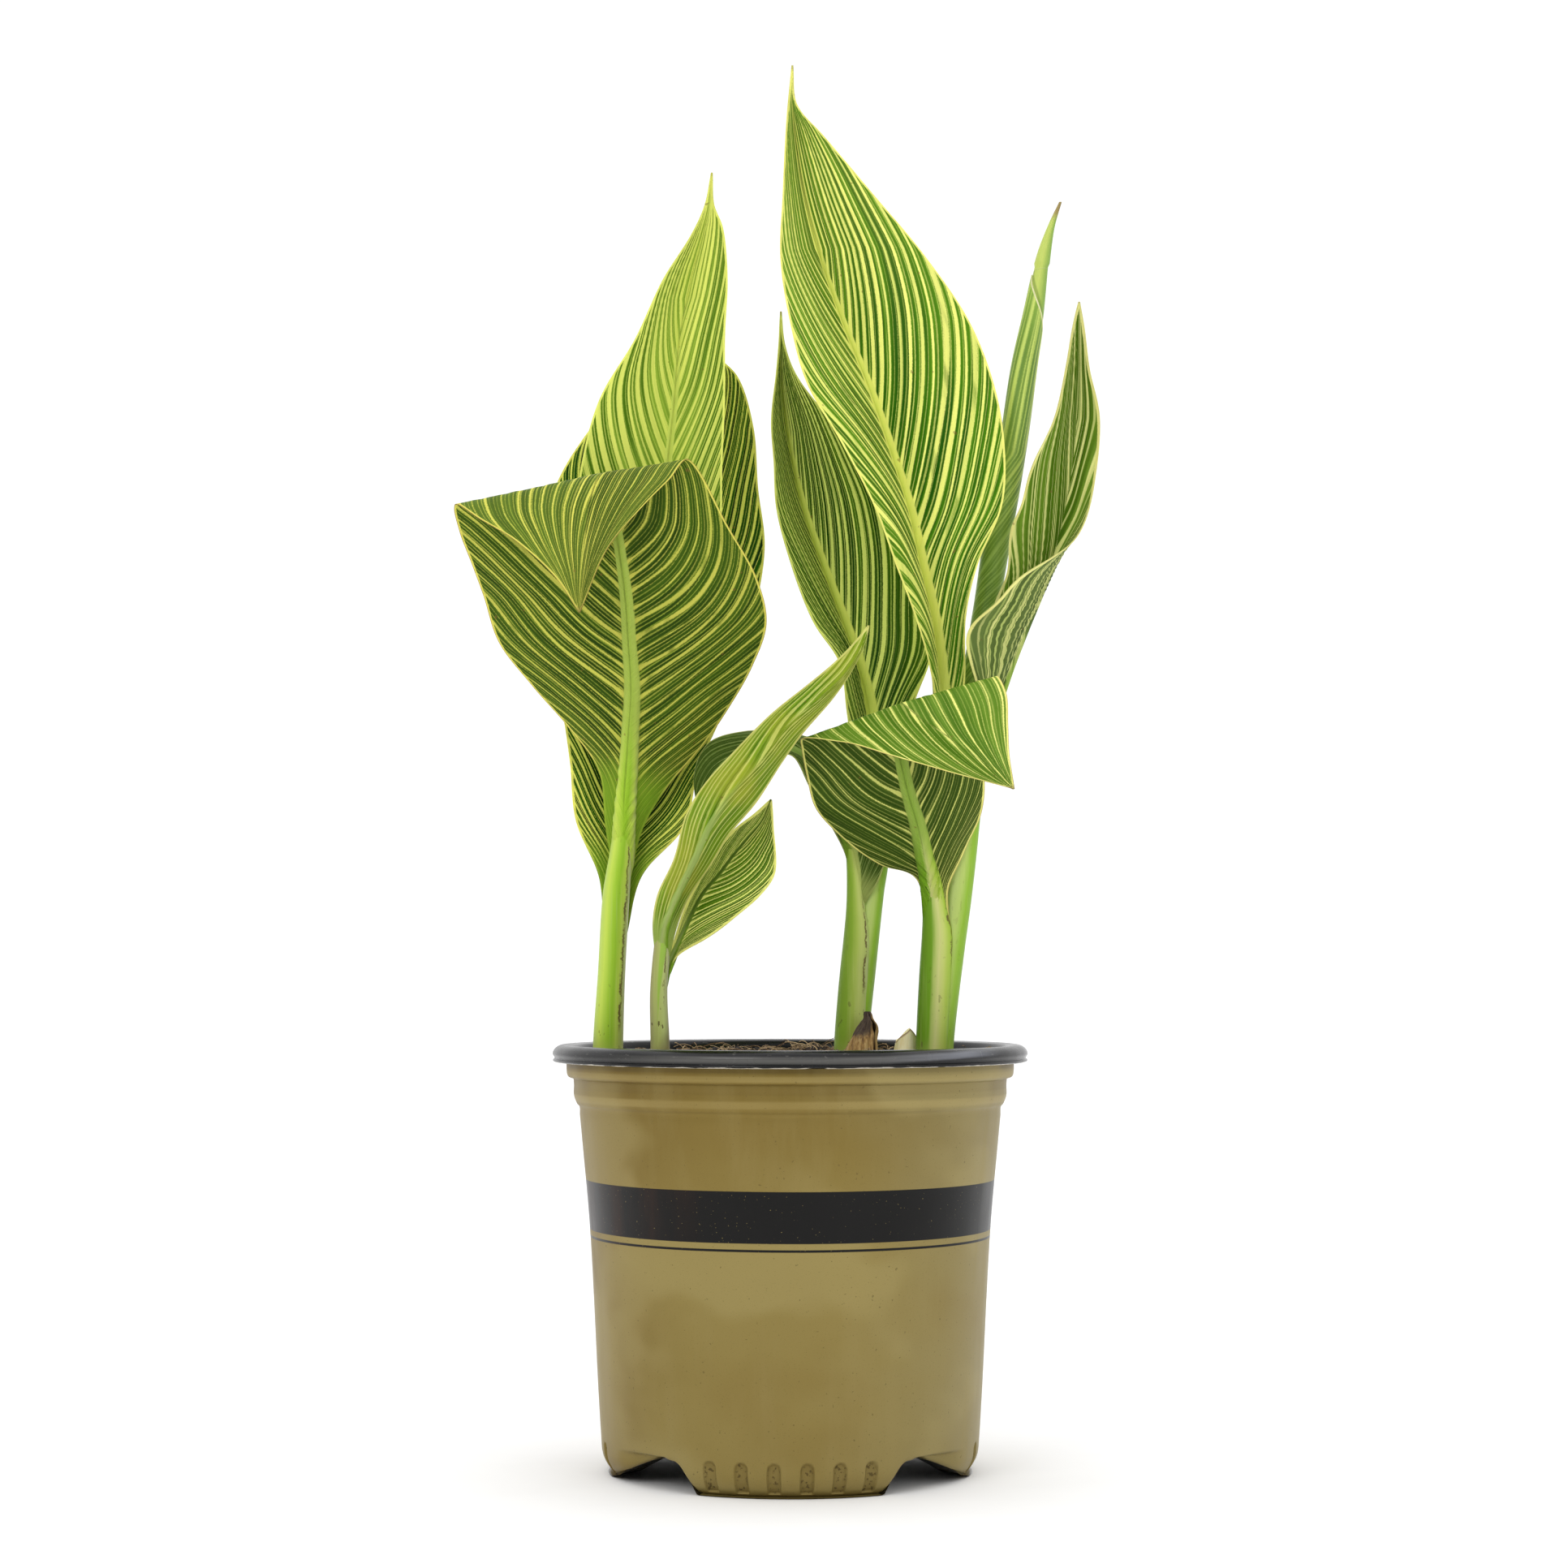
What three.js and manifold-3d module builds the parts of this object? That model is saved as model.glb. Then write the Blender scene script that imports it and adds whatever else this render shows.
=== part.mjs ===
// A young striped canna lily in its nursery pot: four shoots with eleven leaves stand in the potting mix.
// Millimetres, +Z up. The pot's four feet stand on Z = 0 and the whole outline is centred on the Z axis.
import * as THREE from "three";
import { mergeVertices } from "three/addons/utils/BufferGeometryUtils.js";
import Module from "manifold-3d";

const wasm = await Module();
wasm.setup();

// ---- Driving dimensions ------------------------------------------------------------------------

const GAP = 0.3; // air between pieces that rest on each other

// Pot
const POT_SIDES = 48;
const POT_WALL = 1.6;
const LIP_R = 100;
const LIP_TOP = 177.5;
const FOOT_R = 76; // where the outer wall meets the ground
const FOOT_INNER_R = 63;
const FLOOR_Z = 15; // top of the pot's floor
const FLOOR_T = 2;
const ARCH_AT = [42, 138, 222, 318]; // degrees round from the front to the highest part of each arch
const ARCH_HEIGHT = 12.6;
const FLUTE_WIDTH = 5.8;
const FLUTE_HEIGHT = 14;
const FLUTE_CORNER = 2.89; // their tops are almost half round
const FLUTE_BED_R = 77.9;
const FLUTE_PITCH = 9.7; // degrees
const FLUTES = { 0: 6, 90: 4, 180: 6, 270: 4 }; // how many on the foot that faces each way
const DRAIN_R = 4.5;
const DRAIN_AT = 70;
const DRAIN_SIDES = 12;
const DRILL_LENGTH = 10;

// Potting mix
const SOIL_SIDES = 36;
const SOIL_TOP = 172.5;

// Leaves
const BLADE_T = 0.8;
const TIP_HALF = 0.6; // half the width of a leaf's blunt last millimetre

// ---- Closed solids from rings ------------------------------------------------------------------

const vec = (x, y, z) => new THREE.Vector3(x, y, z);
const point = ([x, y, z]) => vec(x, y, z);

function solidFrom(positions, triangles) {
  const vertProperties = Float32Array.from(positions);
  const solid = (faces) => {
    const triVerts = Uint32Array.from(faces.flat());
    return new wasm.Manifold(new wasm.Mesh({ numProp: 3, vertProperties, triVerts }));
  };
  const drawn = solid(triangles);
  return drawn.volume() > 0 ? drawn : solid(triangles.map(([a, b, c]) => [a, c, b]));
}

// Joins closed rings of equal length. Point i of a ring lies across from its point (last - i), so each quad
// of the second half is split along the other diagonal and both faces of a thin blade bend alike.
function loft(rings) {
  const count = rings[0].length;
  const half = count / 2;
  const triangles = [];
  for (let k = 0; k + 1 < rings.length; k++) {
    for (let i = 0; i < count; i++) {
      const a = k * count + i;
      const b = k * count + ((i + 1) % count);
      const [d, c] = [a + count, b + count];
      if (i < half) triangles.push([a, b, c], [a, c, d]);
      else triangles.push([a, b, d], [b, c, d]);
    }
  }
  for (const [start, flip] of [[0, true], [(rings.length - 1) * count, false]]) {
    for (let i = 0; i + 1 < half; i++) {
      const [a, b] = [start + i, start + i + 1];
      const [c, d] = [start + count - 2 - i, start + count - 1 - i];
      triangles.push(...(flip ? [[a, c, b], [a, d, c]] : [[a, b, c], [a, c, d]]));
    }
  }
  return solidFrom(rings.flat().flatMap((p) => p.toArray()), triangles);
}

function manifoldOf(geometry) {
  const bare = geometry.clone();
  for (const name of ["normal", "uv"]) bare.deleteAttribute(name);
  const merged = mergeVertices(bare, 1e-4);
  const index = Array.from(merged.index.array);
  const triangles = [];
  for (let i = 0; i < index.length; i += 3) {
    const [a, b, c] = index.slice(i, i + 3);
    if (a !== b && b !== c && a !== c) triangles.push([a, b, c]);
  }
  return solidFrom(Array.from(merged.attributes.position.array), triangles);
}

const union = (solids) => solids.reduce((whole, next) => whole.add(next));

// What is left of a piece once its neighbours' room is taken out of it; scraps are dropped.
function clearOf(solid, ...neighbours) {
  const parts = neighbours.reduce((whole, next) => whole.subtract(next), solid).decompose();
  return parts.reduce((largest, next) => (next.volume() > largest.volume() ? next : largest));
}

const object = new THREE.Group();

function piece(name, solid, colour, roughness, metalness = 0) {
  const { vertProperties, triVerts } = solid.getMesh();
  const geometry = new THREE.BufferGeometry();
  geometry.setAttribute("position", new THREE.BufferAttribute(vertProperties, 3));
  geometry.setIndex(new THREE.BufferAttribute(triVerts, 1));
  geometry.computeVertexNormals();
  const material = new THREE.MeshStandardMaterial({ color: colour, roughness, metalness });
  const mesh = new THREE.Mesh(geometry, material);
  mesh.name = name;
  object.add(mesh);
}

// ---- Pot: thin moulded shell, rolled lip, raised floor on a ring of four feet --------------------

// Outside of the wall from the ground up: radius, height. It steps out to a collar below the lip.
const WALL = [[FOOT_R, 0], [78, 2.2], [79.1, 15], [80.5, 37], [84, 101], [88.6, 149.6], [90.8, 151.6],
  [91.3, 164.6]];
const LIP = [[94, 165.6], [94, 168.3], [97.4, 167.7], [99.5, 169.2], [LIP_R, 172.4], [99.2, 175.7],
  [96.6, LIP_TOP], [91.9, 177.2], [90, 175.6]];

const innerWall = WALL.filter(([, z]) => z > FLOOR_Z).map(([r, z]) => [r - POT_WALL, z]);
const underside = [[0, FLOOR_Z - FLOOR_T], [FOOT_INNER_R - 1.5, FLOOR_Z - FLOOR_T], [FOOT_INNER_R, 0.6],
  [FOOT_INNER_R + 0.8, 0]];
const floorCorner = [[77, FLOOR_Z + 1.4], [75.4, FLOOR_Z]];
const outline = [...underside, ...WALL, ...LIP, ...innerWall.reverse(), ...floorCorner, [0, FLOOR_Z]];

// three's lathe turns about Y, so the shell is stood up afterwards.
const standing = new THREE.Matrix4().makeRotationX(Math.PI / 2);
const shell = new THREE.LatheGeometry(outline.map(([r, z]) => new THREE.Vector2(r, z)), POT_SIDES);

const BELOW = -2; // cuts through the feet start this far under the ground
const INSIDE_R = 38; // and run outwards from here
const OUTSIDE_R = 90; // to here

// An outline standing across the way out from the pot's axis, as the hole that it cuts `degrees` round from
// the front.
function cutOut(shape, from, degrees, curveSegments) {
  const depth = OUTSIDE_R - from;
  const prism = new THREE.ExtrudeGeometry(shape, { depth, bevelEnabled: false, curveSegments });
  prism.translate(0, 0, from).applyMatrix4(standing); // its length now runs towards the front
  return manifoldOf(prism.rotateZ(THREE.MathUtils.degToRad(degrees)));
}

// An arch is steep beside the front or back foot and falls away gently to the side foot, which is to the
// right for `side` 1 and to the left for -1.
function arch(side) {
  const shape = new THREE.Shape();
  shape.moveTo(-20 * side, BELOW);
  shape.bezierCurveTo(-14.5 * side, BELOW, -13 * side, ARCH_HEIGHT, -5.3 * side, ARCH_HEIGHT);
  shape.lineTo(1.5 * side, ARCH_HEIGHT);
  shape.bezierCurveTo(14 * side, ARCH_HEIGHT, 22 * side, 4, 48 * side, -1);
  shape.lineTo(48 * side, BELOW);
  return shape;
}

function flute() {
  const half = FLUTE_WIDTH / 2;
  const shape = new THREE.Shape();
  shape.moveTo(-half, BELOW);
  shape.lineTo(half, BELOW);
  shape.lineTo(half, FLUTE_HEIGHT - FLUTE_CORNER);
  shape.absarc(half - FLUTE_CORNER, FLUTE_HEIGHT - FLUTE_CORNER, FLUTE_CORNER, 0, Math.PI / 2);
  shape.absarc(FLUTE_CORNER - half, FLUTE_HEIGHT - FLUTE_CORNER, FLUTE_CORNER, Math.PI / 2, Math.PI);
  return shape;
}

const cuts = ARCH_AT.map((at, i) => cutOut(arch(i % 2 ? -1 : 1), INSIDE_R, at, 7));
for (const [facing, count] of Object.entries(FLUTES)) {
  for (let i = 0; i < count; i++) {
    const at = Number(facing) + (i - (count - 1) / 2) * FLUTE_PITCH;
    cuts.push(cutOut(flute(), FLUTE_BED_R, at, 3));
  }
}
for (const at of ARCH_AT) {
  const drill = new THREE.CylinderGeometry(DRAIN_R, DRAIN_R, DRILL_LENGTH, DRAIN_SIDES);
  drill.applyMatrix4(standing).translate(0, -DRAIN_AT, FLOOR_Z).rotateZ(THREE.MathUtils.degToRad(at));
  cuts.push(manifoldOf(drill));
}
const pot = manifoldOf(shell.applyMatrix4(standing)).subtract(union(cuts));

// ---- Stems: rods of horizontal rings, [x, y, z, radius] from the bottom up -----------------------

const ROD_SIDES = 12;

// `step` lets the radius grow once round by that share, which leaves the seam of a rolled leaf.
function rod(rings, grow = 0, step = 0) {
  return loft(rings.map(([x, y, z, r]) =>
    Array.from({ length: ROD_SIDES }, (_, i) => {
      const angle = (i / ROD_SIDES) * 2 * Math.PI - Math.PI / 2;
      const reach = r * (1 - step * (i / (ROD_SIDES - 1))) + grow;
      return vec(x + reach * Math.cos(angle), y + reach * Math.sin(angle), z);
    })));
}

const FOOT_Z = 150; // how deep the shoots stand in the mix

const STEMS = {
  stem_left: [[[-77, 0, FOOT_Z, 6.4], [-76.8, 0, 176, 6.4], [-75.4, 0, 207, 5.8], [-73.4, -1, 241, 5.8],
    [-72, -1.5, 256, 4.9]]],
  stem_small: [[[-54, -22, FOOT_Z, 4.1], [-54, -22, 177, 4], [-54.6, -22, 200, 3.6], [-53.2, -22.6, 217, 3.9],
    [-52.6, -23, 223, 3.3]]],
  stem_middle: [
    [[26.5, 11.5, FOOT_Z, 6.2], [27, 11.5, 176, 6.2], [31, 10.8, 210, 5.6], [35, 9, 241, 4.9],
      [38, 9, 256, 4.4]],
    [[25.2, 9.6, FOOT_Z, 6.7], [25.4, 9.6, 176, 6.8], [26.3, 9, 195, 6.4], [27.3, 7.8, 209, 6.1],
      [28.2, 6.6, 223, 5.5], [27.8, 5, 236, 4], [27.2, 3.8, 249, 3.2]],
  ],
  stem_right: [
    [[62, 0.4, FOOT_Z, 6.3], [62.6, 0.4, 176, 6.3], [66.8, 0.2, 215, 6.6], [70.2, -1, 238, 6.3],
      [72.6, -2, 258, 6.2], [75.7, -1, 286, 5.9], [77.6, 0, 299, 5.4]],
    [[59.2, -4, FOOT_Z, 6.5], [59.4, -4, 176, 6.6], [61, -4.4, 206, 6.8], [61.9, -5, 224, 6.5],
      [60.8, -6.2, 236, 5], [59.8, -7, 243, 4.1]],
  ],
};

const stemSolid = (name, grow = 0) => union(STEMS[name].map((rings) => rod(rings, grow)));

// ---- Leaves --------------------------------------------------------------------------------------

// Each row across a leaf is [left edge, midrib, right edge], from the foot towards the tip. `rib` is the
// midrib's half width and height at the foot, `under` the side it stands out on (+1 along the blade's normal,
// which is away from the front on an upright leaf), `belly` how far each half arches along the normal, as a
// share of its width, and `wave` the rise of its edges and how often they come.
const LEAVES = {
  leaf_left_folded: {
    stem: "stem_left", colour: 0x55702c, rib: [4.5, 5.2], under: -1, belly: [-0.07, -0.1], wave: [1, 3],
    steps: 26, tip: [-85, -71, 353],
    rows: [
      [[-74, -1, 246], [-71, -1, 246], [-68, -1, 246]],
      [[-78, -2, 269], [-70, -4, 269], [-62, -2, 269]],
      [[-81, -1, 293], [-68, -9, 291], [-52, -1, 286]],
      [[-94, -1, 312], [-67, -13, 309], [-36, -1, 305]],
      [[-109, -4, 329], [-66, -18, 326], [-25, -3, 321]],
      [[-123, -8, 347], [-67, -23, 346], [-16, -6, 337]],
      [[-129, -13, 366], [-68, -29, 364], [-10, -10, 355]],
      [[-133, -18, 378], [-70, -34, 380], [-14, -15, 373]],
      [[-138, -25, 392], [-73, -39, 398], [-26, -22, 394]],
      [[-139, -35, 401], [-77, -46, 413], [-42, -34, 420]],
      [[-128, -44, 394], [-81, -55, 402], [-50, -44, 411]],
      [[-112, -54, 384], [-83, -60, 387], [-62, -53, 397]],
      [[-96, -63, 369], [-84, -66, 370], [-74, -62, 380]],
    ],
  },
  leaf_left_young: {
    stem: "stem_left", colour: 0x9dbf45, rib: [3.2, 3.6], under: 1, belly: [-0.08, -0.1], wave: [0.6, 2],
    steps: 18, tip: [-34, 25, 555],
    rows: [
      [[-74, 2, 245], [-72, 2, 245], [-70, 2, 245]],
      [[-73, 4, 269], [-71, 5, 269], [-69, 4, 269]],
      [[-72, 5, 293], [-68, 7, 293], [-63, 5, 293]],
      [[-76, 5, 321], [-65, 11, 323], [-54, 5, 323]],
      [[-87, 5, 355], [-60, 15, 358], [-39, 6, 362]],
      [[-92, 5, 389], [-56, 19, 392], [-30, 9, 396]],
      [[-90, 7, 420], [-53, 21, 424], [-29, 11, 426]],
      [[-82, 11, 453], [-50, 24, 454], [-28, 15, 454]],
      [[-67, 15, 480], [-48, 24, 481], [-28, 17, 482]],
      [[-55, 19, 507], [-43, 25, 508], [-27, 20, 508]],
      [[-43, 22, 527], [-38, 25, 528], [-29, 22, 530]],
      [[-37, 24, 541], [-35, 24, 541], [-33, 24, 541]],
    ],
  },
  leaf_left_rear: {
    stem: "stem_left", colour: 0x4c7a22, rib: [4, 4], under: 1, belly: [-0.06, -0.08], wave: [1.4, 3],
    steps: 18, tip: [-41, 56, 495],
    rows: [
      [[-79, 2, 224], [-74, 5, 224], [-69, 2, 224]],
      [[-81, 3, 248], [-72, 9, 249], [-63, 3, 248]],
      [[-91, 6, 272], [-71, 16, 273], [-45, 5, 269]],
      [[-94, 12, 297], [-69, 24, 298], [-39, 13, 295]],
      [[-99, 20, 325], [-66, 33, 327], [-27, 21, 324]],
      [[-109, 29, 358], [-64, 41, 359], [-17, 29, 356]],
      [[-109, 37, 392], [-61, 49, 392], [-11, 37, 392]],
      [[-102, 44, 422], [-57, 54, 421], [-14, 42, 420]],
      [[-90, 48, 444], [-52, 57, 447], [-16, 47, 447]],
      [[-73, 52, 465], [-47, 58, 469], [-23, 51, 470]],
      [[-53, 55, 483], [-43, 57, 484], [-35, 55, 483]],
    ],
  },
  leaf_small_rolled: {
    stem: "stem_small", colour: 0x8db545, rib: [2.8, 2.6], under: -1, belly: [-0.16, -0.16], wave: [0.5, 3],
    steps: 16, tip: [32, -47, 350],
    rows: [
      [[-56, -23, 215], [-53, -23.5, 214], [-50, -23, 215]],
      [[-57, -25, 228], [-52, -27, 226], [-47, -25, 227]],
      [[-55, -27, 240], [-47, -32, 239], [-42, -27, 239]],
      [[-48, -30, 255], [-40, -37, 253], [-33, -31, 252]],
      [[-43, -33, 273], [-33, -41, 268], [-25, -34, 265]],
      [[-35, -35, 286], [-25, -44, 280], [-14, -36, 278]],
      [[-23, -37, 299], [-13, -45, 293], [-3, -38, 295]],
      [[-8, -40, 314], [-1, -46, 309], [5, -41, 306]],
      [[7, -42, 326], [13, -47, 321], [18, -43, 321]],
      [[18, -44, 335], [23, -47, 331], [26, -44, 333]],
      [[26, -46, 343], [29, -47, 341], [31, -46, 344]],
    ],
  },
  leaf_small_channelled: {
    stem: "stem_small", colour: 0x6f9a35, rib: [1.6, 1.4], under: 1, belly: [0.05, 0.08], wave: [0.8, 3],
    steps: 14, tip: [-8, -18, 280],
    rows: [
      [[-52, -20, 209], [-50.5, -20.5, 209], [-49, -20, 209]],
      [[-49, -18, 219], [-47, -17, 218], [-45, -19, 216]],
      [[-45, -18, 232], [-42, -14, 231], [-35, -22, 222]],
      [[-40, -18, 243], [-37, -12, 241], [-24, -25, 230]],
      [[-35, -18, 252], [-30, -12, 249], [-13, -26, 239]],
      [[-30, -18, 260], [-24, -12, 257], [-7, -26, 248]],
      [[-23, -18, 268], [-18, -13, 264], [-6, -24, 258]],
      [[-15, -18, 274], [-12, -15, 271], [-7, -21, 269]],
    ],
  },
  leaf_middle_tall: {
    stem: "stem_middle", colour: 0x3f6620, rib: [3.8, 4], under: 1, belly: [-0.08, -0.08], wave: [0.8, 3],
    steps: 18, tip: [-4, 40, 497],
    rows: [
      [[36, 8, 250], [38, 8, 250], [41, 8, 250]],
      [[33, 9, 276], [37, 9, 276], [41, 9, 276]],
      [[27, 11, 299], [36, 15, 301], [45, 11, 300]],
      [[24, 10, 319], [34, 21, 322], [54, 18, 325]],
      [[21, 10, 340], [29, 25, 342], [61, 23, 345]],
      [[10, 11, 358], [23, 30, 360], [59, 27, 366]],
      [[0, 15, 384], [14, 34, 385], [54, 30, 390]],
      [[-6, 19, 407], [6, 37, 409], [44, 31, 412]],
      [[-7, 23, 428], [1, 39, 430], [29, 32, 433]],
      [[-8, 29, 448], [-2, 40, 450], [16, 34, 450]],
      [[-6, 34, 469], [-4, 39, 469], [3, 36, 468]],
      [[-5, 38, 482], [-4, 39, 482], [-2, 38, 482]],
    ],
  },
  leaf_middle_arching: {
    stem: "stem_middle", colour: 0x5b7640, rib: [3, 3], under: 1, belly: [-0.05, -0.08], wave: [0.6, 2],
    steps: 16, tip: [-32, -11, 262],
    rows: [
      [[24, 5, 238], [27, 4, 237], [30, 5, 238]],
      [[24, 2, 255], [27, 2, 254], [34, 2, 249]],
      [[17, -2, 270], [22, 0, 271], [38, 1, 271]],
      [[8, -6, 286], [14, -1, 287], [30, 3, 292]],
      [[0, -9, 299], [6, -3, 298], [15, 4, 305]],
      [[-12, -11, 296], [-6, -4, 304], [-3, 4, 310]],
      [[-23, -12, 288], [-19, -5, 301], [-19, 4, 310]],
      [[-29, -13, 279], [-29, -6, 294], [-34, 3, 305]],
      [[-30, -13, 271], [-35, -7, 284], [-40, 1, 294]],
      [[-31, -13, 265], [-35, -8, 274], [-40, -2, 281]],
    ],
  },
  leaf_right_tall: {
    stem: "stem_right", colour: 0x6c9a2f, rib: [4.3, 4.2], under: 1, belly: [-0.06, -0.08], wave: [1, 3],
    steps: 20, tip: [1, 13, 599],
    rows: [
      [[68, -3, 258], [71, -3, 258], [74, -3, 258]],
      [[65, -6, 282], [68, -7, 282], [72, -6, 282]],
      [[63, -4, 306], [66, -4, 306], [71, -4, 306]],
      [[60, -7, 330], [64, 2, 330], [74, -2, 331]],
      [[53, -13, 355], [61, 6, 357], [75, -1, 358]],
      [[45, -16, 378], [56, 9, 381], [80, -1, 381]],
      [[36, -17, 403], [51, 13, 406], [90, 0, 406]],
      [[22, -15, 430], [43, 16, 433], [91, 0, 432]],
      [[7, -12, 456], [34, 18, 460], [87, 1, 458]],
      [[0, -8, 483], [23, 20, 488], [77, 2, 485]],
      [[-4, -3, 512], [13, 20, 517], [58, 5, 514]],
      [[-3, 2, 540], [6, 18, 543], [35, 7, 542]],
      [[-2, 8, 566], [2, 16, 569], [14, 10, 568]],
      [[-1, 12, 582], [1, 13, 583], [3, 12, 582]],
    ],
  },
  leaf_right_folded: {
    stem: "stem_right", colour: 0x4f6f2a, rib: [4.3, 4.6], under: -1, belly: [-0.08, -0.08], wave: [1.2, 4],
    steps: 24, tip: [90, -67, 282],
    rows: [
      [[57, -6, 233], [59.6, -6, 233], [62.4, -6, 233]],
      [[53, -8, 247], [59, -9, 246], [64, -8, 246]],
      [[37, -9, 254], [56, -15, 257], [72, -10, 259]],
      [[22, -11, 264], [53, -22, 270], [79, -13, 271]],
      [[11, -14, 276], [49, -28, 283], [81, -17, 282]],
      [[7, -18, 290], [46, -34, 295], [81, -21, 298]],
      [[5, -23, 300], [43, -39, 308], [83, -26, 315]],
      [[5, -30, 305], [45, -45, 318], [85, -33, 331]],
      [[21, -40, 303], [54, -54, 311], [89, -41, 322]],
      [[41, -50, 296], [65, -59, 303], [89, -49, 309]],
      [[63, -58, 290], [78, -63, 293], [89, -57, 296]],
    ],
  },
  leaf_right_twisted: {
    stem: "stem_right", colour: 0x5e7d3a, rib: [2.8, 2.6], under: 1, belly: [0.03, 0.2], wave: [1.2, 5],
    steps: 20, tip: [124, 8, 495],
    rows: [
      [[78, -2, 291], [80.5, -1, 291], [83, -2, 291]],
      [[81, -1, 314], [85, 1, 313], [81, -6, 318]],
      [[84, 3, 337], [92, 6, 334], [75, -12, 338]],
      [[87, 5, 358], [100, 10, 354], [77, -16, 354]],
      [[91, 6, 377], [108, 10, 373], [91, -17, 368]],
      [[95, 6, 396], [114, 10, 390], [111, -13, 383]],
      [[99, 5, 410], [118, 10, 407], [124, -6, 396]],
      [[104, 4, 425], [121, 10, 425], [130, 0, 420]],
      [[113, 4, 445], [123, 9, 446], [132, 3, 444]],
      [[118, 5, 467], [124, 9, 468], [128, 5, 466]],
      [[121, 7, 484], [124, 8, 484], [126, 7, 484]],
    ],
  },
};

// The blade as a surface: `along` runs from 0 at the foot to 1 at the tip, `across` from -1 to 1 with the
// midrib at 0. The edges only ripple where the blade is wider than NARROW.
const NARROW = 15;

function bladeSurface({ rows, tip, belly, wave }) {
  const last = rows.at(-1).map(point);
  const sideways = last[2].clone().sub(last[0]).setLength(TIP_HALF);
  const end = [point(tip).sub(sideways), point(tip), point(tip).add(sideways)];
  const rails = [0, 1, 2].map((side) =>
    new THREE.CatmullRomCurve3([...rows.map((row) => point(row[side])), end[side]], false, "centripetal"));
  const clamp = (t) => Math.min(Math.max(t, 0), 1);
  return (along, across) => {
    const [left, rib, right] = rails.map((rail) => rail.getPoint(clamp(along)));
    const ahead = rails[1].getPoint(clamp(along + 0.01)).sub(rails[1].getPoint(clamp(along - 0.01)));
    const normal = ahead.cross(right.clone().sub(left)).normalize();
    const [edge, arch] = across < 0 ? [left, belly[0]] : [right, belly[1]];
    const out = Math.abs(across);
    const reach = edge.sub(rib);
    const width = reach.length();
    const phase = wave[1] * 2 * Math.PI * along + (across < 0 ? 0 : 2);
    const ripple = wave[0] * Math.min(1, width / NARROW) * out ** 3 * Math.sin(phase);
    const lift = arch * width * 4 * out * (1 - out) + ripple;
    return {
      at: rib.addScaledVector(reach, out).addScaledVector(normal, lift),
      reach: width * out,
      width,
    };
  };
}

// A blade of even thickness with its midrib standing out on one face. Each ring runs over the plain face from
// edge to edge and back over the face with the rib.
const RIB_SHARE = 0.42; // the most of a half blade that the midrib takes
const RIB_END = 0.5; // the midrib's half width at the tip
const FAN = [1, 0.66, 0.33, 0]; // columns from the edge of the blade to the edge of the midrib
const STEP_ALONG = 0.01;
const STEP_ACROSS = 0.04;

function bladeSolid(leaf) {
  const surface = bladeSurface(leaf);
  const rings = [];
  for (let k = 0; k <= leaf.steps; k++) {
    const along = k / leaf.steps;
    const ribHalf = leaf.rib[0] * (1 - along) + RIB_END;
    const ribHeight = leaf.rib[1] * (1 - along) ** 1.2;
    const columns = [-1, 1].map((side) => {
      const share = Math.min(RIB_SHARE, ribHalf / surface(along, side).width);
      const fan = FAN.map((s) => side * (share + (1 - share) * s));
      return side < 0 ? fan : fan.reverse();
    });
    const [upper, lower] = [[], []];
    for (const across of [...columns[0], 0, ...columns[1]]) {
      const { at, reach } = surface(along, across);
      const ahead = surface(along + STEP_ALONG, across).at.sub(surface(along - STEP_ALONG, across).at);
      const [from, to] = [Math.max(-1, across - STEP_ACROSS), Math.min(1, across + STEP_ACROSS)];
      const outward = surface(along, to).at.sub(surface(along, from).at);
      const normal = ahead.cross(outward).normalize().multiplyScalar(leaf.under);
      const bulge = ribHeight * Math.max(0, 1 - (reach / ribHalf) ** 2);
      upper.push(at.clone().addScaledVector(normal, -BLADE_T / 2));
      lower.push(at.clone().addScaledVector(normal, BLADE_T / 2 + bulge));
    }
    rings.push([...upper, ...lower.reverse()]);
  }
  return loft(rings);
}

// The spear: a leaf still rolled up round itself, thickest low down and drawn to a point.
const SPEAR = [[76.5, 3, 299.3, 2.8], [77, 9.5, 325, 4.4], [81.4, 15, 350, 5.2], [84.6, 18, 366, 5.6],
  [88.9, 19, 392, 6], [93.2, 19, 416, 6.1], [97.1, 18, 441, 6.1], [101.1, 18, 469, 5.8],
  [105.2, 18, 491, 4.9], [109.6, 18, 517, 3.1], [113, 18, 530, 1.6], [117, 18, 540.5, 0.6]];
const SEAM_STEP = 0.16; // the outer turn's edge, as a share of the radius

// ---- Remains of old shoots at soil level ----------------------------------------------------------

// A dry sheath with a split hollow on its right, and a shoot cut off at a slant.
const HUSK = [[29.6, -4.5, 162, 6], [29.6, -4.5, 173, 7], [31, -4.5, 181, 5.2], [31.6, -4.5, 187, 3],
  [31.8, -4.5, 191, 0.8]];
const HUSK_HOLLOW = [[32.5, -4, 176, 2], [34, -3.5, 182, 3], [36, -3, 188, 4], [38, -3, 194, 5]];
const STUB = [[48, 3, 162, 4.8], [48, 3, 174, 5.2], [49.4, 3, 186, 4.9]];

const STUB_CUT = { tilt: -32, middle: [44.6, 3, 186.8], size: [30, 30, 12] }; // what the knife took off

const stubCut = new THREE.BoxGeometry(...STUB_CUT.size);
stubCut.rotateY(THREE.MathUtils.degToRad(STUB_CUT.tilt)).translate(...STUB_CUT.middle);

// ---- Potting mix: fills the pot to just under its lip, lumpy on top --------------------------------

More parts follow.
